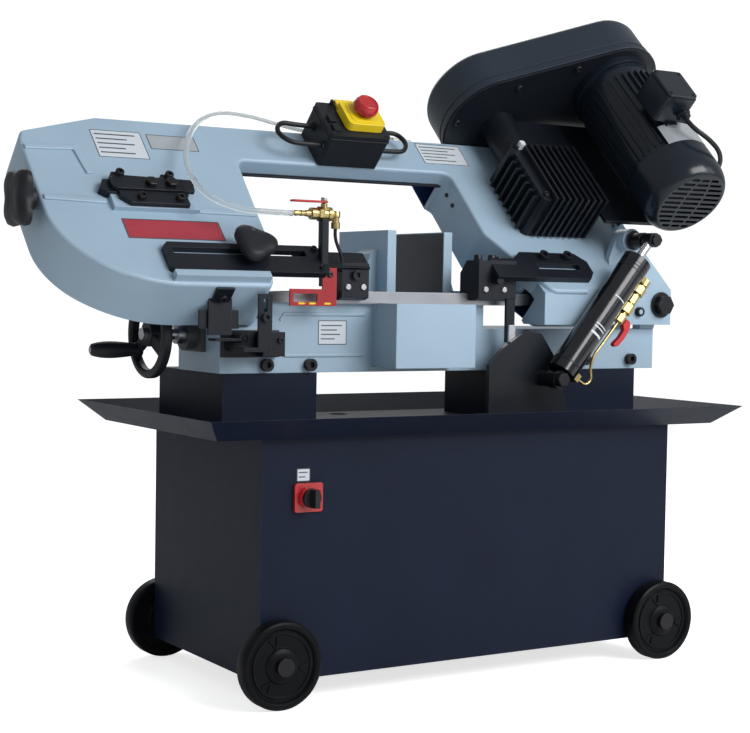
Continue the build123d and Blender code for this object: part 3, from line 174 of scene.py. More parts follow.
def edge_mask(tree, radius):
    """White where the surface turns sharply, from the difference between rounded and true normals."""
    rounded = tree.nodes.new("ShaderNodeBevel")
    rounded.samples = 4
    rounded.inputs["Radius"].default_value = radius
    true = tree.nodes.new("ShaderNodeNewGeometry")
    dot = tree.nodes.new("ShaderNodeVectorMath")
    dot.operation = "DOT_PRODUCT"
    link(tree, rounded.outputs["Normal"], dot.inputs[0])
    link(tree, true.outputs["Normal"], dot.inputs[1])
    return ramp(tree, dot.outputs["Value"], 0.80, 0.985, (1, 1, 1, 1), (0, 0, 0, 1))


def relief(tree, shader, height, strength, distance, round_edges):
    """Bump over softly rounded edges."""
    bump = tree.nodes.new("ShaderNodeBump")
    bump.inputs["Strength"].default_value = strength
    bump.inputs["Distance"].default_value = distance
    link(tree, height, bump.inputs["Height"])
    if round_edges:
        rounded = tree.nodes.new("ShaderNodeBevel")
        rounded.samples = 4
        rounded.inputs["Radius"].default_value = round_edges
        link(tree, rounded.outputs["Normal"], bump.inputs["Normal"])
    link(tree, bump.outputs["Normal"], shader.inputs["Normal"])


def shade(colour, factor):
    return tuple(min(1.0, part * factor) for part in colour[:3]) + (1,)


def surface(name, colour, rough, grain=500, strength=0.15, distance=0.0004, vary=0.08, wear=None, metal=0.0,
            coat=0.0, edges=0.0009, rough_vary=0.12, stretch=(1, 1, 1), cells=False, shine=0.5):
    """A surface with colour that varies a little, uneven gloss, fine relief and, if asked, worn edges.

    grain, strength and distance are the relief's; edges is the radius that sharp edges seem to have.
    """
    material, tree, shader = new_material(name)
    cloudy = object_noise(tree, CLOUD_SCALE, 4)
    base = mixed(tree, ramp(tree, cloudy, 0.3, 0.7), shade(colour, 1 - vary), shade(colour, 1 + vary))
    fine = object_noise(tree, grain, 3, stretch, "cells" if cells else "noise")
    if wear:
        worn = object_noise(tree, WORN_SCALE, 5)
        mask = tree.nodes.new("ShaderNodeMath")
        mask.operation = "MULTIPLY"
        link(tree, edge_mask(tree, WORN_WIDTH), mask.inputs[0])
        link(tree, ramp(tree, worn, 0.35, 0.75), mask.inputs[1])
        base = mixed(tree, mask.outputs["Value"], base, tuple(wear) + (1,))
    link(tree, base, shader.inputs["Base Color"])
    gloss = object_noise(tree, GLOSS_SCALE, 4)
    spread = tree.nodes.new("ShaderNodeMapRange")
    spread.inputs["To Min"].default_value = max(0.03, rough - rough_vary / 2)
    spread.inputs["To Max"].default_value = min(1.0, rough + rough_vary / 2)
    link(tree, gloss, spread.inputs["Value"])
    link(tree, spread.outputs["Result"], shader.inputs["Roughness"])
    shader.inputs["Metallic"].default_value = metal
    shader.inputs["Specular IOR Level"].default_value = shine
    shader.inputs["Coat Weight"].default_value = coat
    shader.inputs["Coat Roughness"].default_value = COAT_ROUGHNESS
    relief(tree, shader, fine, strength, distance, edges)
    return material


def brushed(name, colour, rough, direction):
    """Metal with fine machining lines across one direction."""
    stretch = [40, 40, 40]
    stretch["xyz".index(direction)] = 1
    return surface(name, colour, rough, grain=30, strength=0.12, distance=0.0002, vary=0.06, metal=1.0,
                   stretch=tuple(stretch), rough_vary=0.15)


def clear_tube(name):
    """Soft clear hose wall, slightly milky."""
    material, tree, shader = new_material(name)
    shader.inputs["Base Color"].default_value = (0.82, 0.87, 0.88, 1)
    shader.inputs["Roughness"].default_value = 0.12
    shader.inputs["Transmission Weight"].default_value = 0.75
    shader.inputs["IOR"].default_value = 1.33
    shader.inputs["Alpha"].default_value = 0.75
    relief(tree, shader, object_noise(tree, 120, 3), 0.08, 0.0003, 0)
    return material


bow_paint = surface("bow_paint", (0.327, 0.452, 0.565), 0.38, grain=420, strength=0.16, vary=0.04,
                    wear=(0.50, 0.58, 0.64), coat=0.15, edges=0.0016)
navy_paint = surface("navy_paint", (0.006, 0.0105, 0.026), 0.42, grain=650, strength=0.22, vary=0.10,
                     wear=(0.07, 0.09, 0.13), shine=0.15)
blue_paint = surface("blue_paint", (0.02, 0.045, 0.17), 0.36, grain=500, strength=0.15, wear=(0.2, 0.3, 0.5))
black_paint = surface("black_paint", (0.0075, 0.010, 0.015), 0.34, grain=520, strength=0.25, vary=0.12,
                      wear=(0.06, 0.065, 0.075), shine=0.3)
satin_black = surface("satin_black", (0.008, 0.013, 0.021), 0.24, grain=260, strength=0.05, vary=0.1,
                      coat=0.12, shine=0.35)
cover_black = surface("cover_black", (0.016, 0.026, 0.040), 0.30, grain=260, strength=0.05, vary=0.1,
                      coat=0.12, shine=0.35)
gloss_black = surface("gloss_black", (0.006, 0.007, 0.010), 0.16, grain=260, strength=0.04, vary=0.1,
                      coat=0.35, shine=0.4)
black_plastic = surface("black_plastic", (0.008, 0.010, 0.014), 0.48, grain=900, strength=0.30, cells=True,
                        shine=0.35)
black_oxide = surface("black_oxide", (0.020, 0.020, 0.023), 0.34, grain=700, strength=0.2, metal=0.6,
                      wear=(0.16, 0.16, 0.17))
red_plastic = surface("red_plastic", (0.45, 0.014, 0.018), 0.26, grain=300, strength=0.04, coat=0.3)
red_paint = surface("red_paint", (0.33, 0.012, 0.018), 0.34, grain=500, strength=0.15,
                    wear=(0.55, 0.10, 0.09))
red_grip = surface("red_grip", (0.50, 0.02, 0.024), 0.42, grain=380, strength=0.1)
yellow_plastic = surface("yellow_plastic", (0.84, 0.62, 0.015), 0.34, grain=300, strength=0.05, coat=0.2)
white_plastic = surface("white_plastic", (0.62, 0.62, 0.54), 0.40, grain=300, strength=0.06)
rubber = surface("rubber", (0.005, 0.005, 0.007), 0.55, grain=480, strength=0.35, vary=0.15,
                 wear=(0.04, 0.04, 0.04), shine=0.12)
cable_skin = surface("cable_skin", (0.008, 0.009, 0.011), 0.42, grain=300, strength=0.1, edges=0, shine=0.35)
steel = brushed("steel", (0.50, 0.51, 0.53), 0.32, "x")
blade_steel = brushed("blade_steel", (0.36, 0.37, 0.39), 0.38, "z")
chrome = surface("chrome", (0.72, 0.73, 0.76), 0.08, grain=200, strength=0.02, metal=1.0, rough_vary=0.06)
zinc = surface("zinc", (0.52, 0.53, 0.55), 0.34, grain=240, strength=0.1, metal=1.0)
brass = surface("brass", (0.52, 0.41, 0.18), 0.30, grain=200, strength=0.08, metal=1.0, vary=0.12)
cast_iron = surface("cast_iron", (0.10, 0.105, 0.11), 0.5, grain=350, strength=0.4, metal=0.5)
label_white = surface("label_white", (0.60, 0.65, 0.70), 0.35, grain=200, strength=0.03, vary=0.03, edges=0)
label_silver = surface("label_silver", (0.48, 0.52, 0.55), 0.32, grain=200, strength=0.04, metal=0.4, edges=0)
label_red = surface("label_red", (0.36, 0.035, 0.055), 0.3, grain=70, strength=0.12, vary=0.12, edges=0)
label_ink = surface("label_ink", (0.06, 0.07, 0.09), 0.45, grain=200, strength=0.02, edges=0)
hose_clear = clear_tube("hose_clear")

NODE_MATERIALS = (
    (bow_paint, ["bow_casting", "bed", "fixed_jaw", "movable_jaw"]),
    (blue_paint, ["rear_cover"]),
    (navy_paint, ["cabinet", "chip_tray", "left_pedestal", "right_pedestal", "coolant_tank"]),
    (black_paint, ["gearbox_housing", "belt_back_plate", "coolant_pump", "cylinder_bracket", "guide_arm",
                   "left_guide", "right_guide", "shutoff_switch", "trip_bracket", "shutoff_toggle"]),
    (satin_black, ["motor_body", "fan_cover", "terminal_box"]),
    (cover_black, ["belt_cover"]),
    (gloss_black, ["cylinder_barrel"]),
    (black_plastic, ["switch_box", "rotary_knob", "handwheel", "handwheel_grip", "clamp_knob",
                     "tension_knob"]),
    (black_oxide, ["bed_bolts", "hinge_shaft", "wheel_axles", "cylinder_rod"]),
    (red_plastic, ["rotary_switch", "stop_mushroom"]),
    (red_paint, ["blade_guard", "feed_lever", "valve_lever"]),
    (yellow_plastic, ["estop_flap"]),
    (rubber, ["front_left_wheel", "front_right_wheel", "rear_left_wheel", "rear_right_wheel"]),
    (cable_skin, ["control_cables", "drive_belt"]),
    (hose_clear, ["coolant_hose"]),
    (steel, ["lead_screw", "worm_shaft"]),
    (blade_steel, ["blade"]),
    (brass, ["coolant_valve", "feed_valve", "worm_gear"]),
    (cast_iron, ["drive_wheel", "idler_wheel", "idler_carrier", "motor_pulley", "worm_pulley",
                 "screw_bearing"]),
)
for material, names in NODE_MATERIALS:
    for name in names:
        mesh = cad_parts[name].data
        mesh.materials.clear()
        mesh.materials.append(material)

# the feed cylinder's rod is chromed up to its eye, which ends this far from the pin, in metres
EYE_REACH = 0.014
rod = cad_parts["cylinder_rod"]
rod.data.materials.append(chrome)
bpy.context.view_layer.update()
eye_middle = cabinet_point(PISTON[0], CYLINDER_Y, PISTON[1]) * 0.001
for face in rod.data.polygons:
    middle = rod.matrix_world @ face.center
    near_eye = (middle - eye_middle).dot(ALONG) > -EYE_REACH
    face.material_index = 0 if near_eye else 1

# ------------------------ camera, light and floor
CAMERA_PLACE = (-1.366, -2.217, 0.598)
CAMERA_TURN = (31.91, 2.63, 0.97)
CAMERA_LENS = 78.48
# how bright the room is to the saw and to the camera, and how much the floor glows to the camera
ROOM_LIGHT, ROOM_SEEN, FLOOR_GLOW = 0.36, 1.1, 0.72
camera_data = bpy.data.cameras.new("camera")
camera_data.lens = CAMERA_LENS
camera_data.sensor_width = 36
camera_data.clip_end = 60
camera = bpy.data.objects.new("camera", camera_data)
bpy.context.scene.collection.objects.link(camera)
yaw, pitch, roll = (math.radians(angle) for angle in CAMERA_TURN)
look = Vector((math.sin(yaw) * math.cos(pitch), math.cos(yaw) * math.cos(pitch), -math.sin(pitch)))
level_right = Vector((math.cos(yaw), -math.sin(yaw), 0))
level_up = level_right.cross(look)
turned_right = level_right * math.cos(roll) + level_up * math.sin(roll)
turned_up = level_up * math.cos(roll) - level_right * math.sin(roll)
seen = Matrix((turned_right, turned_up, -look)).transposed().to_4x4()
camera.matrix_world = Matrix.Translation(CAMERA_PLACE) @ seen
bpy.context.scene.camera = camera
bpy.context.scene.view_settings.view_transform = "Standard"

world = bpy.data.worlds.new("studio")
world.use_nodes = True
background = world.node_tree.nodes["Background"]
background.inputs["Color"].default_value = (0.96, 0.98, 1.0, 1)
ray = world.node_tree.nodes.new("ShaderNodeLightPath")
level = world.node_tree.nodes.new("ShaderNodeMapRange")
level.inputs["To Min"].default_value = ROOM_LIGHT
level.inputs["To Max"].default_value = ROOM_SEEN
link(world.node_tree, ray.outputs["Is Camera Ray"], level.inputs["Value"])
link(world.node_tree, level.outputs["Result"], background.inputs["Strength"])
bpy.context.scene.world = world


def area_light(name, place, target, size, power, colour=(1, 1, 1)):
    data = bpy.data.lights.new(name, "AREA")
    data.shape = "RECTANGLE"
    data.size, data.size_y = size
    data.energy = power
    data.color = colour
    light = bpy.data.objects.new(name, data)
    bpy.context.scene.collection.objects.link(light)
    light.location = place
    light.rotation_euler = (Vector(target) - Vector(place)).to_track_quat("-Z", "Y").to_euler()


area_light("key", (1.3, -3.3, 2.6), (0, 0, 0.6), (2.4, 2.0), 120)
area_light("fill", (2.6, -2.6, 1.8), (0.1, 0, 0.6), (2.0, 2.0), 20, (0.95, 0.97, 1))
area_light("back", (1.0, 2.6, 2.6), (0, 0, 0.8), (2.5, 1.5), 30)

floor_mesh = bpy.data.meshes.new("floor")
floor_mesh.from_pydata([(-15, -15, 0), (15, -15, 0), (15, 15, 0), (-15, 15, 0)], [], [(0, 1, 2, 3)])
floor = bpy.data.objects.new("floor", floor_mesh)
bpy.context.scene.collection.objects.link(floor)
floor_paper = surface("floor_paper", (0.94, 0.94, 0.94), 0.85, grain=60, strength=0.02, vary=0.01, edges=0)
paper_shader = floor_paper.node_tree.nodes["Principled BSDF"]
paper_shader.inputs["Emission Color"].default_value = (1, 1, 1, 1)
paper_ray = floor_paper.node_tree.nodes.new("ShaderNodeLightPath")
paper_glow = floor_paper.node_tree.nodes.new("ShaderNodeMath")
paper_glow.operation = "MULTIPLY"
paper_glow.inputs[1].default_value = FLOOR_GLOW
link(floor_paper.node_tree, paper_ray.outputs["Is Camera Ray"], paper_glow.inputs[0])
link(floor_paper.node_tree, paper_glow.outputs["Value"], paper_shader.inputs["Emission Strength"])
floor_mesh.materials.append(floor_paper)

# ------------------------ mesh helpers, local lengths in mm


def outward_mesh(name, verts, faces, merge=0.0):
    """A mesh whose faces look outward, with points nearer than merge made one."""
    mesh = bpy.data.meshes.new(name)
    mesh.from_pydata(verts, [], faces)
    shape = bmesh.new()
    shape.from_mesh(mesh)
    if merge:
        bmesh.ops.remove_doubles(shape, verts=shape.verts, dist=merge)
    bmesh.ops.recalc_face_normals(shape, faces=shape.faces)
    shape.to_mesh(mesh)
    shape.free()
    return mesh


def finish_piece(name, mesh, body, material, at=None, sharp=35.0, bevel=0.0):
    """Links a mesh as a piece of the saw, with smooth shading that breaks at sharp edges."""
    if at is not None:
        mesh.transform(at)
        if at.to_3x3().determinant() < 0:
            mesh.flip_normals()
    mesh.polygons.foreach_set("use_smooth", [True] * len(mesh.polygons))
    mesh.set_sharp_from_angle(angle=math.radians(sharp))
    mesh.materials.append(material)
    mesh.update()
    piece = bpy.data.objects.new(name, mesh)
    bpy.context.scene.collection.objects.link(piece)
    if bevel:
        modifier = piece.modifiers.new("edges", "BEVEL")
        modifier.width = bevel * 0.001
        modifier.segments = 2
        modifier.limit_method = "ANGLE"
        modifier.angle_limit = math.radians(35)
        modifier.harden_normals = True
    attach(piece, body)
    return piece


def prism(name, outline, low, high, at, body, material, bevel=0.6, holes=()):
    """An outline in the local xy plane, between two heights, with bevelled edges."""
    shape = bmesh.new()
    loop = [shape.verts.new((x, y, low)) for x, y in outline]
    edges = [shape.edges.new((a, b)) for a, b in zip(loop, loop[1:] + loop[:1])]
    for hole in holes:
        inner = [shape.verts.new((x, y, low)) for x, y in hole]
        edges += [shape.edges.new((a, b)) for a, b in zip(inner, inner[1:] + inner[:1])]
    made = bmesh.ops.triangle_fill(shape, edges=edges, use_beauty=True)
    faces = [item for item in made["geom"] if isinstance(item, bmesh.types.BMFace)]
    grown = bmesh.ops.extrude_face_region(shape, geom=faces)
    moved = [item for item in grown["geom"] if isinstance(item, bmesh.types.BMVert)]
    bmesh.ops.translate(shape, verts=moved, vec=(0, 0, high - low))
    bmesh.ops.recalc_face_normals(shape, faces=shape.faces)
    bmesh.ops.dissolve_limit(shape, angle_limit=0.01, verts=shape.verts, edges=shape.edges)
    mesh = bpy.data.meshes.new(name)
    shape.to_mesh(mesh)
    shape.free()
    return finish_piece(name, mesh, body, material, at, bevel=bevel)


def rectangle(x0, y0, x1, y1):
    return [(x0, y0), (x1, y0), (x1, y1), (x0, y1)]


def rounded(x0, y0, x1, y1, radius, steps=5):
    """A rectangle with round corners."""
    points = []
    corners = ((x1 - radius, y0 + radius, -90), (x1 - radius, y1 - radius, 0),
               (x0 + radius, y1 - radius, 90), (x0 + radius, y0 + radius, 180))
    for cx, cy, start in corners:
        for step in range(steps + 1):
            angle = math.radians(start + 90 * step / steps)
            points.append((cx + radius * math.cos(angle), cy + radius * math.sin(angle)))
    return points


def circle(cx, cy, radius, count=40):
    angles = [2 * math.pi * i / count for i in range(count)]
    return [(cx + radius * math.cos(angle), cy + radius * math.sin(angle)) for angle in angles]


def lathe(name, profile, at, body, material, count=48, sharp=35.0, wave=None, closed=False):
    """A profile of (radius, height) turned about local z. wave changes the radius with angle and height."""
    verts, faces = [], []
    for radius, height in profile:
        for i in range(count):
            angle = 2 * math.pi * i / count
            r = radius * (wave(angle, height) if wave else 1.0)
            verts.append((r * math.cos(angle), r * math.sin(angle), height))
    rings = len(profile)
    for ring in range(rings if closed else rings - 1):
        above = (ring + 1) % rings
        for i in range(count):
            j = (i + 1) % count
            faces.append((ring * count + i, ring * count + j, above * count + j, above * count + i))
    if not closed and profile[0][0] > 1e-6:
        faces.append(tuple(reversed(range(count))))
    if not closed and profile[-1][0] > 1e-6:
        faces.append(tuple(range((rings - 1) * count, rings * count)))
    return finish_piece(name, outward_mesh(name, verts, faces, 1e-5), body, material, at, sharp=sharp)


def cap_screw(name, at, body, radius, height, material=None):
    """Socket cap screw head: knurled rim, chamfer and a round socket."""
    profile = [(radius, 0), (radius, height * 0.86), (radius * 0.9, height), (radius * 0.55, height),
               (radius * 0.5, height * 0.45), (0, height * 0.4)]

    def knurl(angle, h):
        if h >= height * 0.86 and h > 0:
            return 1.0
        return 1.0 + 0.03 * math.cos(24 * angle)

    return lathe(name, profile, at, body, material or black_oxide, count=48, sharp=50, wave=knurl)


def spline_tube(name, points, radius, material):
    """A curve object: a round tube on one smooth NURBS spline, points in the row frame in mm."""
    data = bpy.data.curves.new(name, "CURVE")
    data.dimensions = "3D"
    spline = data.splines.new("NURBS")
    spline.points.add(len(points) - 1)
    for spline_point, point in zip(spline.points, points):
        spline_point.co = (*(Vector(point) * 0.001), 1)
    spline.order_u = 3
    spline.use_endpoint_u = True
    spline.resolution_u = 10
    data.bevel_depth = radius * 0.001
    data.bevel_resolution = 6
    data.use_fill_caps = True
    data.materials.append(material)
    piece = bpy.data.objects.new(name, data)
    bpy.context.scene.collection.objects.link(piece)
    return piece


def tube_curve(name, points, radius, body, material):
    """A round tube that rides on a body."""
    piece = spline_tube(name, points, radius, material)
    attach(piece, body)
    return piece


def mesh_of(curve):
    """The mesh that a curve object gives, in the row frame."""
    bpy.context.view_layer.update()
    now = bpy.context.evaluated_depsgraph_get()
    return bpy.data.meshes.new_from_object(curve.evaluated_get(now))


# for outlines drawn in the bow's own x, u and n, or the cabinet's own x, y and z
BOW_FACE = on_face(0, 0, 0)
CABINET_FRONT = facing(0, 0, 0)
CABINET_TOP = upright(0, 0, 0)


def slope_at(u):
    """Local x is x along the bow, y is n, z points down the slope, starting at u."""
    return down_slope(0, u, 0)


def side_at(x):
    """Local x to the back, y up, z to the right, starting at x."""
    return axes(cabinet_point(x, 0, 0), BACK, RIGHT)


def ridge(name, points, width, low, high, at, body, material, bevel=0.8):
    """A raised line of constant width along open points."""
    left, right = [], []
    places = [Vector(point) for point in points]
    for index, here in enumerate(places):
        before = (here - places[index - 1]).normalized() if index else None
        after = (places[index + 1] - here).normalized() if index + 1 < len(places) else None
        along = ((before or after) + (after or before)).normalized()
        sideways = Vector((-along.y, along.x))
        lean = sideways.dot(Vector((-(after or before).y, (after or before).x)))
        left.append(here + sideways * width / 2 / lean)
        right.append(here - sideways * width / 2 / lean)
    return prism(name, [tuple(p) for p in right + left[::-1]], low, high, at, body, material, bevel)


def curved_patch(name, centre, along, start, radius, angles, lengths, thickness, body, material):
    """A thin plate bent round a cylinder, between two angles and two places along its axis."""
    steps = 10
    verts, faces = [], []
    across = along.cross(start)
    for layer in (0.0, thickness):
        for i in range(steps + 1):
            angle = math.radians(angles[0] + (angles[1] - angles[0]) * i / steps)
            out = start * math.cos(angle) + across * math.sin(angle)
            for place in lengths:
                verts.append((centre + along * place + out * (radius + layer)) * 0.001)
    count = 2 * (steps + 1)
    for i in range(steps):
        a = 2 * i
        faces.append((a, a + 2, a + 3, a + 1))
        faces.append((count + a, count + a + 1, count + a + 3, count + a + 2))
        faces.append((a, count + a, count + a + 2, a + 2))
        faces.append((a + 1, a + 3, count + a + 3, count + a + 1))
    faces.append((0, 1, count + 1, count))
    last = 2 * steps
    faces.append((last, count + last, count + last + 1, last + 1))
    return finish_piece(name, outward_mesh(name, verts, faces), body, material)


def hexagonal(angle, _height):
    """A wave for hexagons: how far a side is from the centre, against a corner."""
    return math.cos(math.pi / 6) / math.cos(angle % (math.pi / 3) - math.pi / 6)


def hex_bolt(name, at, body, radius, height, material):
    """Hexagon bolt head, chamfered at its top and slightly at its foot."""
    profile = [(radius * 0.96, 0), (radius, height * 0.15), (radius, height * 0.85), (radius * 0.86, height),
               (0, height)]
    return lathe(name, profile, at, body, material, count=48, sharp=28, wave=hexagonal)


def label(name, x0, y0, x1, y1, low, at, body, ground, rows, border=1.2, margin=5.0):
    """A blank label: ground, a thin border and ruled lines in place of any printing."""
    outline = rounded(x0, y0, x1, y1, 1.5)
    inner = rounded(x0 + border, y0 + border, x1 - border, y1 - border, 1.0)
    raised, top = low + 0.35, low + 0.5
    prism(f"{name}_ground", outline, low, raised, at, body, ground, 0)
    prism(f"{name}_border", outline, raised, top, at, body, label_ink, 0, holes=[inner])
    height = (y1 - y0 - 2 * margin) / max(1, rows)
    for row in range(rows):
        reach = (0.92, 0.7, 0.84, 0.6, 0.78)[row % 5]
        right = x0 + margin + (x1 - x0 - 2 * margin) * reach
        y = y1 - margin - row * height
        line = rectangle(x0 + margin, y - height * 0.55, right, y - height * 0.3)
        prism(f"{name}_line_{row}", line, raised, top, at, body, label_ink, 0)


# ------------------------ cables and the coolant hose
CABLE_RADIUS = 4


def cable_on_bow(name, route, node=None):
    """A black cable that goes back into the saw, its route given along the bow in mm."""
    points = [bow_point(*point) for point in route]
    piece = tube_curve(name, points, CABLE_RADIUS, "bow", cable_skin)
    if node:
        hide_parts(node)


LEFT_LOOP = [(-171.5, 300, 84), (-198, 301, 84), (-226, 305, 84), (-241, 281, 84), (-227, 258, 84),
             (-198, 255, 84), (-171.5, 256, 84)]
RIGHT_LOOP = [(-51.5, 312, 70), (-30, 312, 70), (2, 318, 70), (15, 296, 70), (1, 270, 70), (-24, 268, 70),
              (-51.5, 268, 70)]
MOTOR_CABLE = [(384, 135.5, 292), (386, 114, 291), (411, 94, 287), (449, 88, 266), (478, 94, 230),
               (485, 104, 186), (468, 114, 142), (436, 122, 110), (404, 128, 92), (388, 132, 74),
               (386, 133, 55.5)]
COOLANT_HOSE = [(-302.4, 66.5, 106.5), (-330, 66.5, 106.5), (-385, 76, 100), (-426, 110, 95), (-432, 170, 88),
                (-410, 236, 80), (-372, 300, 72), (-320, 340, 64), (-262, 349, 56), (-206, 343, 48),
                (-150, 336, 42), (-94, 334, 38), (-38, 333.5, 39.5), (18, 334.5, 38)]
cable_on_bow("cable_loop_left", LEFT_LOOP, "control_cables")
cable_on_bow("cable_loop_right", RIGHT_LOOP)
cable_on_bow("cable_motor", MOTOR_CABLE)
connector = lathe("hose_connector", [(0, 0), (6.5, 0), (7, 1), (7, 11), (5.6, 12), (5.6, 12.5), (8, 13),
                                     (8, 20), (6, 21), (5, 22), (5, 37), (4, 38), (0, 38)],
                  axes(bow_point(18, 334.5, 38), UP_SLOPE, RIGHT), "bow", white_plastic)
hose_points = [bow_point(*point) for point in COOLANT_HOSE]
hose_route = spline_tube("hose_route", hose_points, 4.5, hose_clear)
hose_mesh = mesh_of(hose_route)
hose_route.data.bevel_depth = 0
hose_line = mesh_of(hose_route)
hose = bpy.data.objects.new("coolant_hose_clear", hose_mesh)
bpy.context.scene.collection.objects.link(hose)
bpy.data.objects.remove(hose_route)
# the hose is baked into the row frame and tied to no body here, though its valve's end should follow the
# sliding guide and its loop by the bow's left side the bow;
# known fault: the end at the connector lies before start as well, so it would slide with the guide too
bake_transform(hose)
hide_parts("coolant_hose")

# ------------------------ blade with its teeth
TOOTH_PITCH = 4.2
TOOTH_DEPTH = 1.7
HALF_WIDTH = 10
HALF_THICKNESS = 0.45
# from the wheels' rims to the middle of the blade's thickness
BLADE_LIFT = 0.55
LOOP_RADIUS = WHEEL_RADIUS + BLADE_LIFT
# where the lower run starts and ends its two twists
TWISTS = (-345, -250, 110, 205)


def blade_turn(x):
    """How far the lower run has turned from lying on the wheels towards upright, in radians."""
    if x <= TWISTS[0] or x >= TWISTS[3]:
        return 0.0
    if x < TWISTS[1]:
        return -math.pi / 4 * (x - TWISTS[0]) / (TWISTS[1] - TWISTS[0])
    if x > TWISTS[2]:
        return -math.pi / 4 * (TWISTS[3] - x) / (TWISTS[3] - TWISTS[2])
    return -math.pi / 4


def blade_place(distance):
    """The blade's middle, inward and width directions, at a distance round from the idler's low side."""
    run = DRIVE_X - IDLER_X
    arc = math.pi * LOOP_RADIUS
    if distance < run:
        x = IDLER_X + distance
        angle = math.pi / 4 + blade_turn(x)
        through = Vector((0, math.cos(angle), math.sin(angle)))
        return bow_point(x, -BLADE_LIFT, 0), through, RIGHT.cross(through)
    distance -= run
    if distance < arc:
        turn = distance / arc * math.pi - math.pi / 2
        out = RIGHT * math.cos(turn) + UP_SLOPE * math.sin(turn)
        return bow_point(DRIVE_X, WHEEL_RADIUS, 0) + out * LOOP_RADIUS, -out, NORMAL
    distance -= arc
    if distance < run:
        return bow_point(DRIVE_X - distance, 2 * WHEEL_RADIUS + BLADE_LIFT, 0), -UP_SLOPE, NORMAL
    distance -= run
    turn = distance / arc * math.pi + math.pi / 2
    out = RIGHT * math.cos(turn) + UP_SLOPE * math.sin(turn)
    return bow_point(IDLER_X, WHEEL_RADIUS, 0) + out * LOOP_RADIUS, -out, NORMAL


def toothed_blade():
    """The endless blade: four edges swept round the loop, the cutting edge stepping in and out."""
    total = 2 * (DRIVE_X - IDLER_X) + 2 * math.pi * LOOP_RADIUS
    teeth = int(total / TOOTH_PITCH)
    verts, faces = [], []
    for tooth in range(teeth):
        for share, depth in ((0.0, 0.0), (0.12, TOOTH_DEPTH), (0.55, TOOTH_DEPTH * 0.85)):
            middle, inward, width = blade_place((tooth + share) / teeth * total)
            for side in (-HALF_THICKNESS, HALF_THICKNESS):
                verts.append((middle + inward * side + width * HALF_WIDTH) * 0.001)
                verts.append((middle + inward * side - width * (HALF_WIDTH - depth)) * 0.001)
    count = len(verts) // 4
    for i in range(count):
        a, b = 4 * i, 4 * ((i + 1) % count)
        faces += [(a, a + 1, b + 1, b), (a + 2, b + 2, b + 3, a + 3), (a, b, b + 2, a + 2),
                  (a + 1, a + 3, b + 3, b + 1)]
    mesh = outward_mesh("blade_toothed", verts, faces)
    piece = finish_piece("blade_toothed", mesh, "bow", blade_steel, sharp=25)
    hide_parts("blade")


toothed_blade()

# ------------------------ bow: raised lines, tracking plates, labels
for name, points in (("upper", [(-652, 246), (-574, 250), (-566, 194)]),
                     ("lower", [(-650, 140), (-556, 136)]),
                     ("right", [(-416, 124), (-322, 122)])):
    ridge(f"bow_step_{name}", points, 10, FACE - 1, FACE + 3, BOW_FACE, "bow", bow_paint, 2.6)
for name, outline, low, high in (
        ("low", [(-526, 120), (-434, 120), (-434, 146), (-540, 146), (-540, 134)], 58, 66),
        ("back", [(-566, 152), (-556, 144), (-428, 144), (-424, 170), (-556, 172)], FACE, 62),
        ("front", [(-549, 152), (-541, 146), (-420, 146), (-416, 171), (-536, 175), (-549, 168)], 62.3, 69)):
    prism(f"tracking_plate_{name}", outline, low, high, BOW_FACE, "bow", black_paint, 0.8)
for count, (x, u) in enumerate(((-508, 131), (-448, 131))):
    cap_screw(f"tracking_screw_low_{count}", on_face(x, u, 66), "bow", 6.5, 7)
for count, (x, u) in enumerate(((-486, 159), (-454, 160))):
    hex_bolt(f"tracking_bolt_{count}", on_face(x, u, 69), "bow", 9.5, 7, black_oxide)
for count, x in enumerate((-530, -452)):
    prism(f"tracking_clamp_{count}", rounded(x - 12, 172, x + 9, 184, 3), FACE, 66, BOW_FACE, "bow",
          black_paint, 0.8)
    cap_screw(f"tracking_screw_top_{count}", on_face(x, 178, 66), "bow", 6.5, 8)
for tick in range(9):
    x = -512 + 6 * tick
    top = 187 if tick % 4 == 0 else 183
    prism(f"tracking_tick_{tick}", rectangle(x - 0.7, 177, x + 0.7, top), FACE, FACE + 0.5, BOW_FACE, "bow",
          label_white, 0)
label("bow_plate", -539, 234, -458, 295, FACE, BOW_FACE, "bow", label_white, 5)
label("bow_badge", -449, 259, -369, 292, FACE, BOW_FACE, "bow", label_silver, 0)
label("bow_red", -544, 62, -391, 102, FACE, BOW_FACE, "bow", label_red, 0, border=1.6)
label("bow_note", 50, 268, 140, 318, FACE, BOW_FACE, "bow", label_white, 5)
bed_front = facing(0, -80, 0)
label("bed_note", -234, 516, -184, 553, 0, bed_front, "stand", label_white, 4)
label("switch_note", -324, 323, -302, 342, 0, facing(0, -181.5, 0), "stand", label_white, 2, margin=3)
for name, points in (("top", [(-300, 552), (-292, 562), (-152, 562)]), ("low", [(-292, 500), (-152, 500)])):
    ridge(f"bed_panel_{name}", points, 5, -0.5, 2, bed_front, "stand", bow_paint, 1.2)
for count, u in enumerate((225, 200)):
    cap_screw(f"throat_screw_{count}", axes(bow_point(89, u, 20), UP_SLOPE, -RIGHT), "bow", 3.5, 2.5)

prism("beam_back_strip", rectangle(-299, 243, 199, 262), 20, 23.5, BOW_FACE, "bow", black_paint,
      0.4)
prism("trip_strap", rectangle(-436, 12, -407, 46), 0, 4, slope_at(-28), "bow", black_paint,
      0.8)
for count, x in enumerate((-453, -404)):
    prism(f"trip_ear_{count}", rectangle(x, 541, x + 14, 568), 118, 122, CABINET_FRONT, "bow", black_paint,
          0.6)

# ------------------------ knobs


def lobes(count, depth, above):
    """A wave for star knobs, which starts above a height."""
    def wave(angle, height):
        if height < above:
            return 1.0
        return 1.0 + depth * math.cos(count * angle)
    return wave


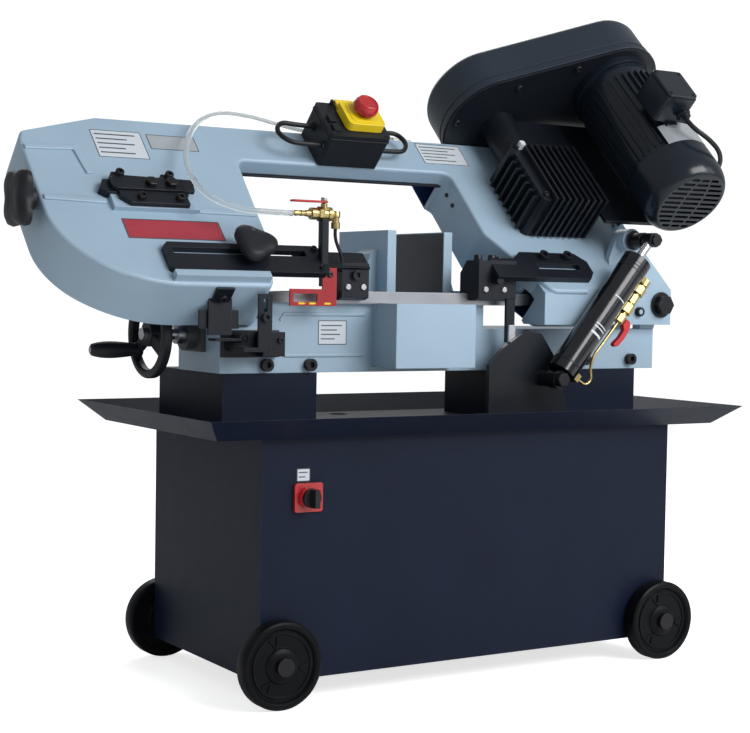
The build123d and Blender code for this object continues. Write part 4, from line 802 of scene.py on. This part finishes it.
TENSION_PROFILE = [(0, -205), (5, -205), (5, 0), (16, 0), (16, 7), (21, 9), (34, 11.5), (41, 15), (42.6, 21),
                   (40, 28), (33, 32.6), (18, 33), (11, 31.8), (0, 31.5)]
CLAMP_PROFILE = [(0, -16), (4.8, -16), (4.8, 0.4), (14, 0.4), (14, 7), (18, 8.5), (27, 10), (30.5, 13),
                 (31, 20), (29, 25), (23, 27.8), (12, 28), (0, 28)]
tension_star = lathe("tension_star", TENSION_PROFILE, axes(bow_point(-658, 150, 37), UP_SLOPE, -RIGHT),
                     "tension_screw", black_plastic, count=96, sharp=50,
                     wave=lobes(4, 0.165, 14))
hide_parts("tension_knob")
clamp_star = lathe("clamp_star", CLAMP_PROFILE, on_face(-366, 30, 60.3), "guide_clamp", black_plastic,
                   count=96, sharp=50, wave=lobes(3, 0.15, 8))
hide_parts("clamp_knob")
lathe("clamp_pin_hole", [(0, 0), (2.6, 0), (2.6, 0.25), (1.6, 0.3), (0, 0.3)], on_face(-366, 48, 88.2),
      "guide_clamp", label_ink, count=24)

# ------------------------ floor wheels
WHEEL_PROFILE = [(8.05, 0), (30, 0), (32, 4), (52, 4), (54, 0), (60, 0), (63, 2), (64, 5), (64, 20), (63, 23),
                 (60, 25), (55, 25), (52.5, 23), (51, 19.5), (48.5, 19.5), (47.5, 21.5), (45, 21.5),
                 (44, 19.5), (27, 19.5), (25, 22), (21, 23.5), (17, 25), (8.05, 25)]
wheel_black = surface("wheel_black", (0.004, 0.0045, 0.006), 0.36, grain=260, strength=0.12, vary=0.2,
                      wear=(0.04, 0.04, 0.045), shine=0.12)
for name, x, outward in (("front_left", -356, FRONT), ("front_right", 356, FRONT), ("rear_left", -356, BACK),
                         ("rear_right", 356, BACK)):
    start = cabinet_point(x, outward.y * 184.5, 64)
    at = axes(start, UP, outward)
    wheel = lathe(f"{name}_tyre", WHEEL_PROFILE, at, f"{name}_roller", wheel_black, count=96,
                  sharp=30, closed=True)
    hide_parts(f"{name}_wheel")
    for spoke in range(3):
        angle = math.radians(120 * spoke + 20)
        for side, lean in (("a", 0.16), ("b", -0.16)):
            points = [(r * math.cos(a), r * math.sin(a)) for r, a in ((28, angle + 0.0), (43, angle + lean))]
            ridge(f"{name}_rib_{spoke}{side}", points, 2.6, 19, 21.5, at, f"{name}_roller", wheel_black,
                  0.5)

# ------------------------ belt cover, gearbox and motor


def hull(worm_radius, motor_radius, steps=28):
    """The outline of a loop stretched over the two pulley centres, as x and n."""
    a, b = Vector(WORM_AT), Vector(MOTOR_AT)
    base = math.atan2(b.y - a.y, b.x - a.x)
    tangent = math.acos((worm_radius - motor_radius) / (b - a).length)
    points = []
    for centre, radius, first, last in ((b, motor_radius, base - tangent, base + tangent),
                                        (a, worm_radius, base + tangent, base + 2 * math.pi - tangent)):
        for step in range(steps + 1):
            angle = first + (last - first) * step / steps
            points.append((centre.x + radius * math.cos(angle), centre.y + radius * math.sin(angle)))
    return points


for name, low_u, high_u, proud in (("lip", 330, 337, 2.2), ("line", 346, 350, 1.2)):
    prism(f"cover_{name}", hull(98 + proud, 86 + proud), 0, high_u - low_u, slope_at(high_u), "bow",
          cover_black, 0.8, holes=[hull(97.5, 85.5)])
for count, (x, n) in enumerate(((118, 96), (203, 180), (300, 60), (300, 232))):
    cap_screw(f"plate_screw_{count}", down_slope(x, 326, n), "bow", 6, 5)
lathe("oil_plug", [(0, 0), (8, 0), (8, 5), (5.5, 6), (5.5, 13), (4, 15), (0, 15)],
      axes(bow_point(182, 240, 116), RIGHT, UP_SLOPE), "bow", black_oxide)
prism("oil_sight", rounded(176, 222, 186, 232, 2), 130, 143, BOW_FACE, "bow", label_white, 0.8)
for count, (x, u) in enumerate(((176, 112), (294, 112), (176, 228), (294, 228))):
    cap_screw(f"gearbox_screw_{count}", on_face(x, u, 130), "bow", 5, 5)
motor_centre = bow_point(MOTOR_AT[0], 0, MOTOR_AT[1])
curved_patch("motor_plate", motor_centre, UP_SLOPE, RIGHT, 73.8, (-124, -62), (108, 150), 0.7, "bow",
             label_silver)
# the fan cover's ends along u, its radius, the width and height of its round shoulder, and its wall
FAN_LOW, FAN_HIGH, FAN_RADIUS = 34, 110, 74
SHOULDER_OUT, SHOULDER_UP, FAN_WALL = 16, 34, 3
# the grille's radius, the step between its rows of slots, half a slot's height, and the bars between slots
GRILLE, SLOT_PITCH, SLOT_HALF, SLOT_BAR = 60, 10, 2.6, 4


def fan_profile():
    """The fan cover's wall from its open end over a round shoulder to the grille, and back inside."""
    middle_r, middle_h = FAN_RADIUS - SHOULDER_OUT, FAN_HIGH - FAN_LOW - SHOULDER_UP
    outer = [(FAN_RADIUS, 0)]
    inner = []
    for step in range(11):
        angle = math.radians(9 * step)
        across, up = math.cos(angle), math.sin(angle)
        outer.append((middle_r + SHOULDER_OUT * across, middle_h + SHOULDER_UP * up))
        inner.append((middle_r + (SHOULDER_OUT - FAN_WALL) * across,
                      middle_h + (SHOULDER_UP - FAN_WALL) * up))
    return outer + inner[::-1] + [(FAN_RADIUS - FAN_WALL, 0)]


fan_shell = lathe("fan_shell", fan_profile(), down_slope(MOTOR_AT[0], FAN_HIGH, MOTOR_AT[1]), "bow",
                  satin_black, count=96, closed=True)
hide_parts("fan_cover")
slots = []
for row in range(-5, 6):
    half = math.sqrt(GRILLE ** 2 - (SLOT_PITCH * row) ** 2) - SLOT_BAR
    middle_n = MOTOR_AT[1] + SLOT_PITCH * row
    third = (2 * half - 2 * SLOT_BAR) / 3
    for column in range(3):
        start_x = MOTOR_AT[0] - half + column * (third + SLOT_BAR)
        slots.append(rounded(start_x, middle_n - SLOT_HALF, start_x + third, middle_n + SLOT_HALF, 1.2, 2))
prism("fan_grille", circle(MOTOR_AT[0], MOTOR_AT[1], GRILLE, 72), 0, 2.4, slope_at(FAN_LOW + 2.6), "bow",
      satin_black, 0, holes=slots)
# a dark disc behind the slots, where the real cover shows its fan
prism("fan_blank", circle(MOTOR_AT[0], MOTOR_AT[1], 71, 48), 0, 2, slope_at(FAN_LOW + 24), "bow", black_paint,
      0)
prism("motor_mount", [(290, 74), (418, 74), (418, 318), (214, 318), (214, 240), (290, 240)], 108, 115,
      BOW_FACE, "bow", black_paint, 0.8)
prism("terminal_lid", [(345, 150), (396, 150), (402, 156), (402, 211), (396, 217), (345, 217), (339, 211),
                       (339, 156)], 318, 324, BOW_FACE, "bow", satin_black, 2.2)
for count, (x, u) in enumerate(((346, 157), (395, 157), (346, 210), (395, 210))):
    cap_screw(f"terminal_screw_{count}", on_face(x, u, 323.5), "bow", 3, 2)
hex_bolt("motor_cable_nut", down_slope(384, 146, 292), "bow", 12.5, 7, black_plastic)

# ------------------------ coolant valve
VALVE_PROFILE = [(0, 0), (8.5, 0), (10.5, 1), (10.5, 7), (8.6, 8), (8.6, 15), (11, 16), (11, 23), (8, 24.5),
                 (8, 26), (9, 27), (9, 35), (5.4, 36), (4.6, 44), (3.5, 44.5), (4.6, 52), (3.5, 52.5),
                 (4.5, 60), (3.3, 64), (0, 64)]
DROP_PIPE = [(-230, -120, 690), (-231, -120, 678), (-224, -119, 662), (-217, -118, 650), (-216, -118, 641)]
LEVER_OUTLINE = [(-306, -124), (-300, -127), (-272, -126.5), (-258, -124), (-246, -125), (-243, -120),
                 (-246, -115), (-258, -116), (-272, -113.5), (-300, -113), (-306, -116)]


def nut_part(low, high):
    """A wave that is hexagonal between two heights and round elsewhere."""
    return lambda angle, height: hexagonal(angle, height) if low <= height <= high else 1.0


valve_body = lathe("coolant_valve_body", VALVE_PROFILE, axes(cabinet_point(-238, -120, 711), UP, -RIGHT),
                   "guide_slide", brass, count=60, sharp=28, wave=nut_part(15.5, 23.5))
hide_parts("coolant_valve")
lathe("coolant_valve_stem", [(0, 0), (7, 0), (7, 6), (5, 7), (5, 12), (3, 13), (3, 17.5), (0, 17.5)],
      upright(-250, -120, 714), "guide_slide", brass, count=36, sharp=28)
prism("coolant_post", rounded(-256, -126, -244, -114, 1.2), 636, 704, CABINET_TOP, "guide_slide", black_paint,
      0.6)
lathe("coolant_elbow", [(0, 0), (6.5, 0), (7, 1), (7, 9), (5.5, 10), (5.5, 16), (6.8, 17), (6.8, 26),
                        (0, 27)], axes(cabinet_point(-230, -120, 716), RIGHT, -UP), "guide_slide", brass,
      count=36, sharp=28)
tube_curve("coolant_drop", [cabinet_point(*point) for point in DROP_PIPE], 2.6, "guide_slide", cable_skin)
lever = prism("coolant_lever", LEVER_OUTLINE, 727.4, 730.6, CABINET_TOP, "coolant_handle", red_grip,
              1.1)
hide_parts("valve_lever")
hex_bolt("coolant_lever_nut", upright(-250, -120, 730.6), "coolant_handle", 5.5, 5, zinc)

# ------------------------ guides, guard and end-of-cut switch
for count, (x, y, z) in enumerate(((-203, -88, 638), (-180, -84, 640), (48, -96, 650), (72, -100, 650),
                                   (95, -86, 648))):
    body = "guide_slide" if x < 0 else "bow"
    cap_screw(f"guide_adjuster_{count}", upright(x, y, z), body, 6.5, 9)
for count, (x, z) in enumerate(((-202, 604), (-175, 604), (48, 604), (84, 604))):
    body = "guide_slide" if x < 0 else "bow"
    front_y = -112 if x < 0 else -118
    lathe(f"guide_roller_pin_{count}", [(0, 0), (5, 0), (5, 2), (4, 3), (0, 3)], facing(x, front_y, z), body,
          zinc, count=32)
prism("guide_foot_pin", rounded(93.5, 520, 106.5, 548, 2), 110, 121, CABINET_FRONT, "bow", zinc, 0.8)
prism("guide_side_block", [(-246, 604), (-232, 604), (-228, 612), (-228, 632), (-246, 632)], 100, 114,
      CABINET_FRONT, "guide_slide", black_paint, 0.8)
for count, x in enumerate((-290, -272, -246)):
    arrow = [(x, 577), (x + 9, 577), (x + 12, 578.5), (x + 9, 580), (x, 580)]
    prism(f"guard_mark_{count}", arrow, 118, 118.5, CABINET_FRONT, "guide_slide", yellow_plastic,
          0)
cap_screw("guard_screw", facing(-237, -118, 622), "guide_slide", 4.5, 3)
cap_screw("stop_screw", facing(381, -99.8, 571), "bow", 8, 8)
cap_screw("trip_screw", down_slope(-421, -32, 28), "bow", 6, 5)

# ------------------------ vice
machined = surface("machined_grey", (0.075, 0.08, 0.09), 0.34, grain=90, strength=0.15, metal=0.5, vary=0.12)
jaw_face = rectangle(-38, 584, 108, 693)
fixed_at = side_at(20) @ Matrix.Translation((0, 0, -0.4))
prism("fixed_jaw_plate", jaw_face, 0, 0.4, fixed_at, "stand", machined, 0)
prism("moving_jaw_plate", jaw_face, 0, 0.4, side_at(-71), "vice_jaw", machined, 0)
hex_bolt("moving_jaw_bolt", upright(-118, 13, 592.3), "vice_jaw", 9, 8, black_oxide)
lathe("grip_screw", [(0, 0), (5, 0), (5, 1), (4, 2), (1.5, 2), (1.5, 1), (0, 1)],
      axes(cabinet_point(-548.2, 44, 505), UP, -RIGHT), "vice_screw", zinc, count=32)

# ------------------------ stop box
STOP_AT = (-101, 285)
flap = prism("stop_flap", rounded(-135, 257, -67, 313, 9), 114.6, 130.2, BOW_FACE, "stop_flap",
             yellow_plastic, 3.0, holes=[circle(*STOP_AT, 8.6)])
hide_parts("estop_flap")
prism("stop_flap_leaf", rounded(-134, 309, -68, 326, 2), 116.5, 122.5, BOW_FACE, "stop_flap", yellow_plastic,
      1.5)
prism("stop_flap_step", rounded(-127, 263, -75, 307, 8), 130, 131.8, BOW_FACE, "stop_flap", yellow_plastic,
      0.8, holes=[circle(*STOP_AT, 14)])
stop_head = lathe("stop_head", [(0, 0), (8, 0), (8, 13), (18, 13.6), (20.5, 15.4), (21, 18.5), (20.4, 24),
                                (18.5, 28.5), (16, 30.6), (14.5, 30.2), (13.8, 29.2), (0, 29.2)],
                  on_face(*STOP_AT, 124), "stop_button", red_plastic, count=72, sharp=40)
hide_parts("stop_mushroom")
prism("box_seam", rounded(-168, 244, -55, 326, 7), 103, 106, BOW_FACE, "bow", black_plastic,
      0.8, holes=[rounded(-166, 246, -57, 324, 6)])
for count, (x, u) in enumerate(((-161, 251), (-62, 251))):
    cap_screw(f"box_screw_{count}", on_face(x, u, 114), "bow", 3, 1.5)

# ------------------------ feed cylinder and pivot
barrel_centre = cylinder_point(0, 0)
for name, low, high, radius in (("top", 226, 229, 24.5), ("neck", 233, 235, 24.5), ("foot", 30, 33, 24.6)):
    lathe(f"barrel_ring_{name}", [(24, 0), (radius, 0.5), (radius, high - low - 0.5), (24, high - low)],
          axes(cylinder_point(low, 0), BACK, ALONG), "feed_barrel", satin_black, count=64)
for count, (low, high) in enumerate(((92, 96), (104, 106), (110, 112), (168, 170))):
    curved_patch(f"barrel_stripe_{count}", barrel_centre, ALONG, FRONT, 24.05, (-28, 28), (low, high), 0.15,
                 "feed_barrel", label_white)
hex_bolt("foot_bolt", facing(FOOT[0], -176.5, FOOT[1]), "stand", 12.4, 9.5, black_oxide)
lathe("pivot_washer", [(12.2, 0), (21, 0), (22, 1), (22, 2.6), (21, 3.5), (12.2, 3.5)],
      facing(430, -100.3, 583), "stand", black_oxide, count=64)
lathe("piston_washer", [(8.2, 0), (15, 0), (16, 1), (16, 3), (15, 4), (8.2, 4)],
      facing(PISTON[0], -121, PISTON[1]), "feed_rod", black_oxide, count=48)
HANDLE_OUTLINE = [(0, 6), (7, 7), (13, 2), (16, -8), (17, -22), (15, -38), (11, -44), (6, -44), (5, -40),
                  (8, -26), (7, -12), (0, -7)]
handle = prism("feed_handle_lever", HANDLE_OUTLINE, -5, 5, axes(cylinder_point(158, 45), ASIDE, FRONT),
               "feed_handle", red_grip, 1.3)
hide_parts("feed_lever")
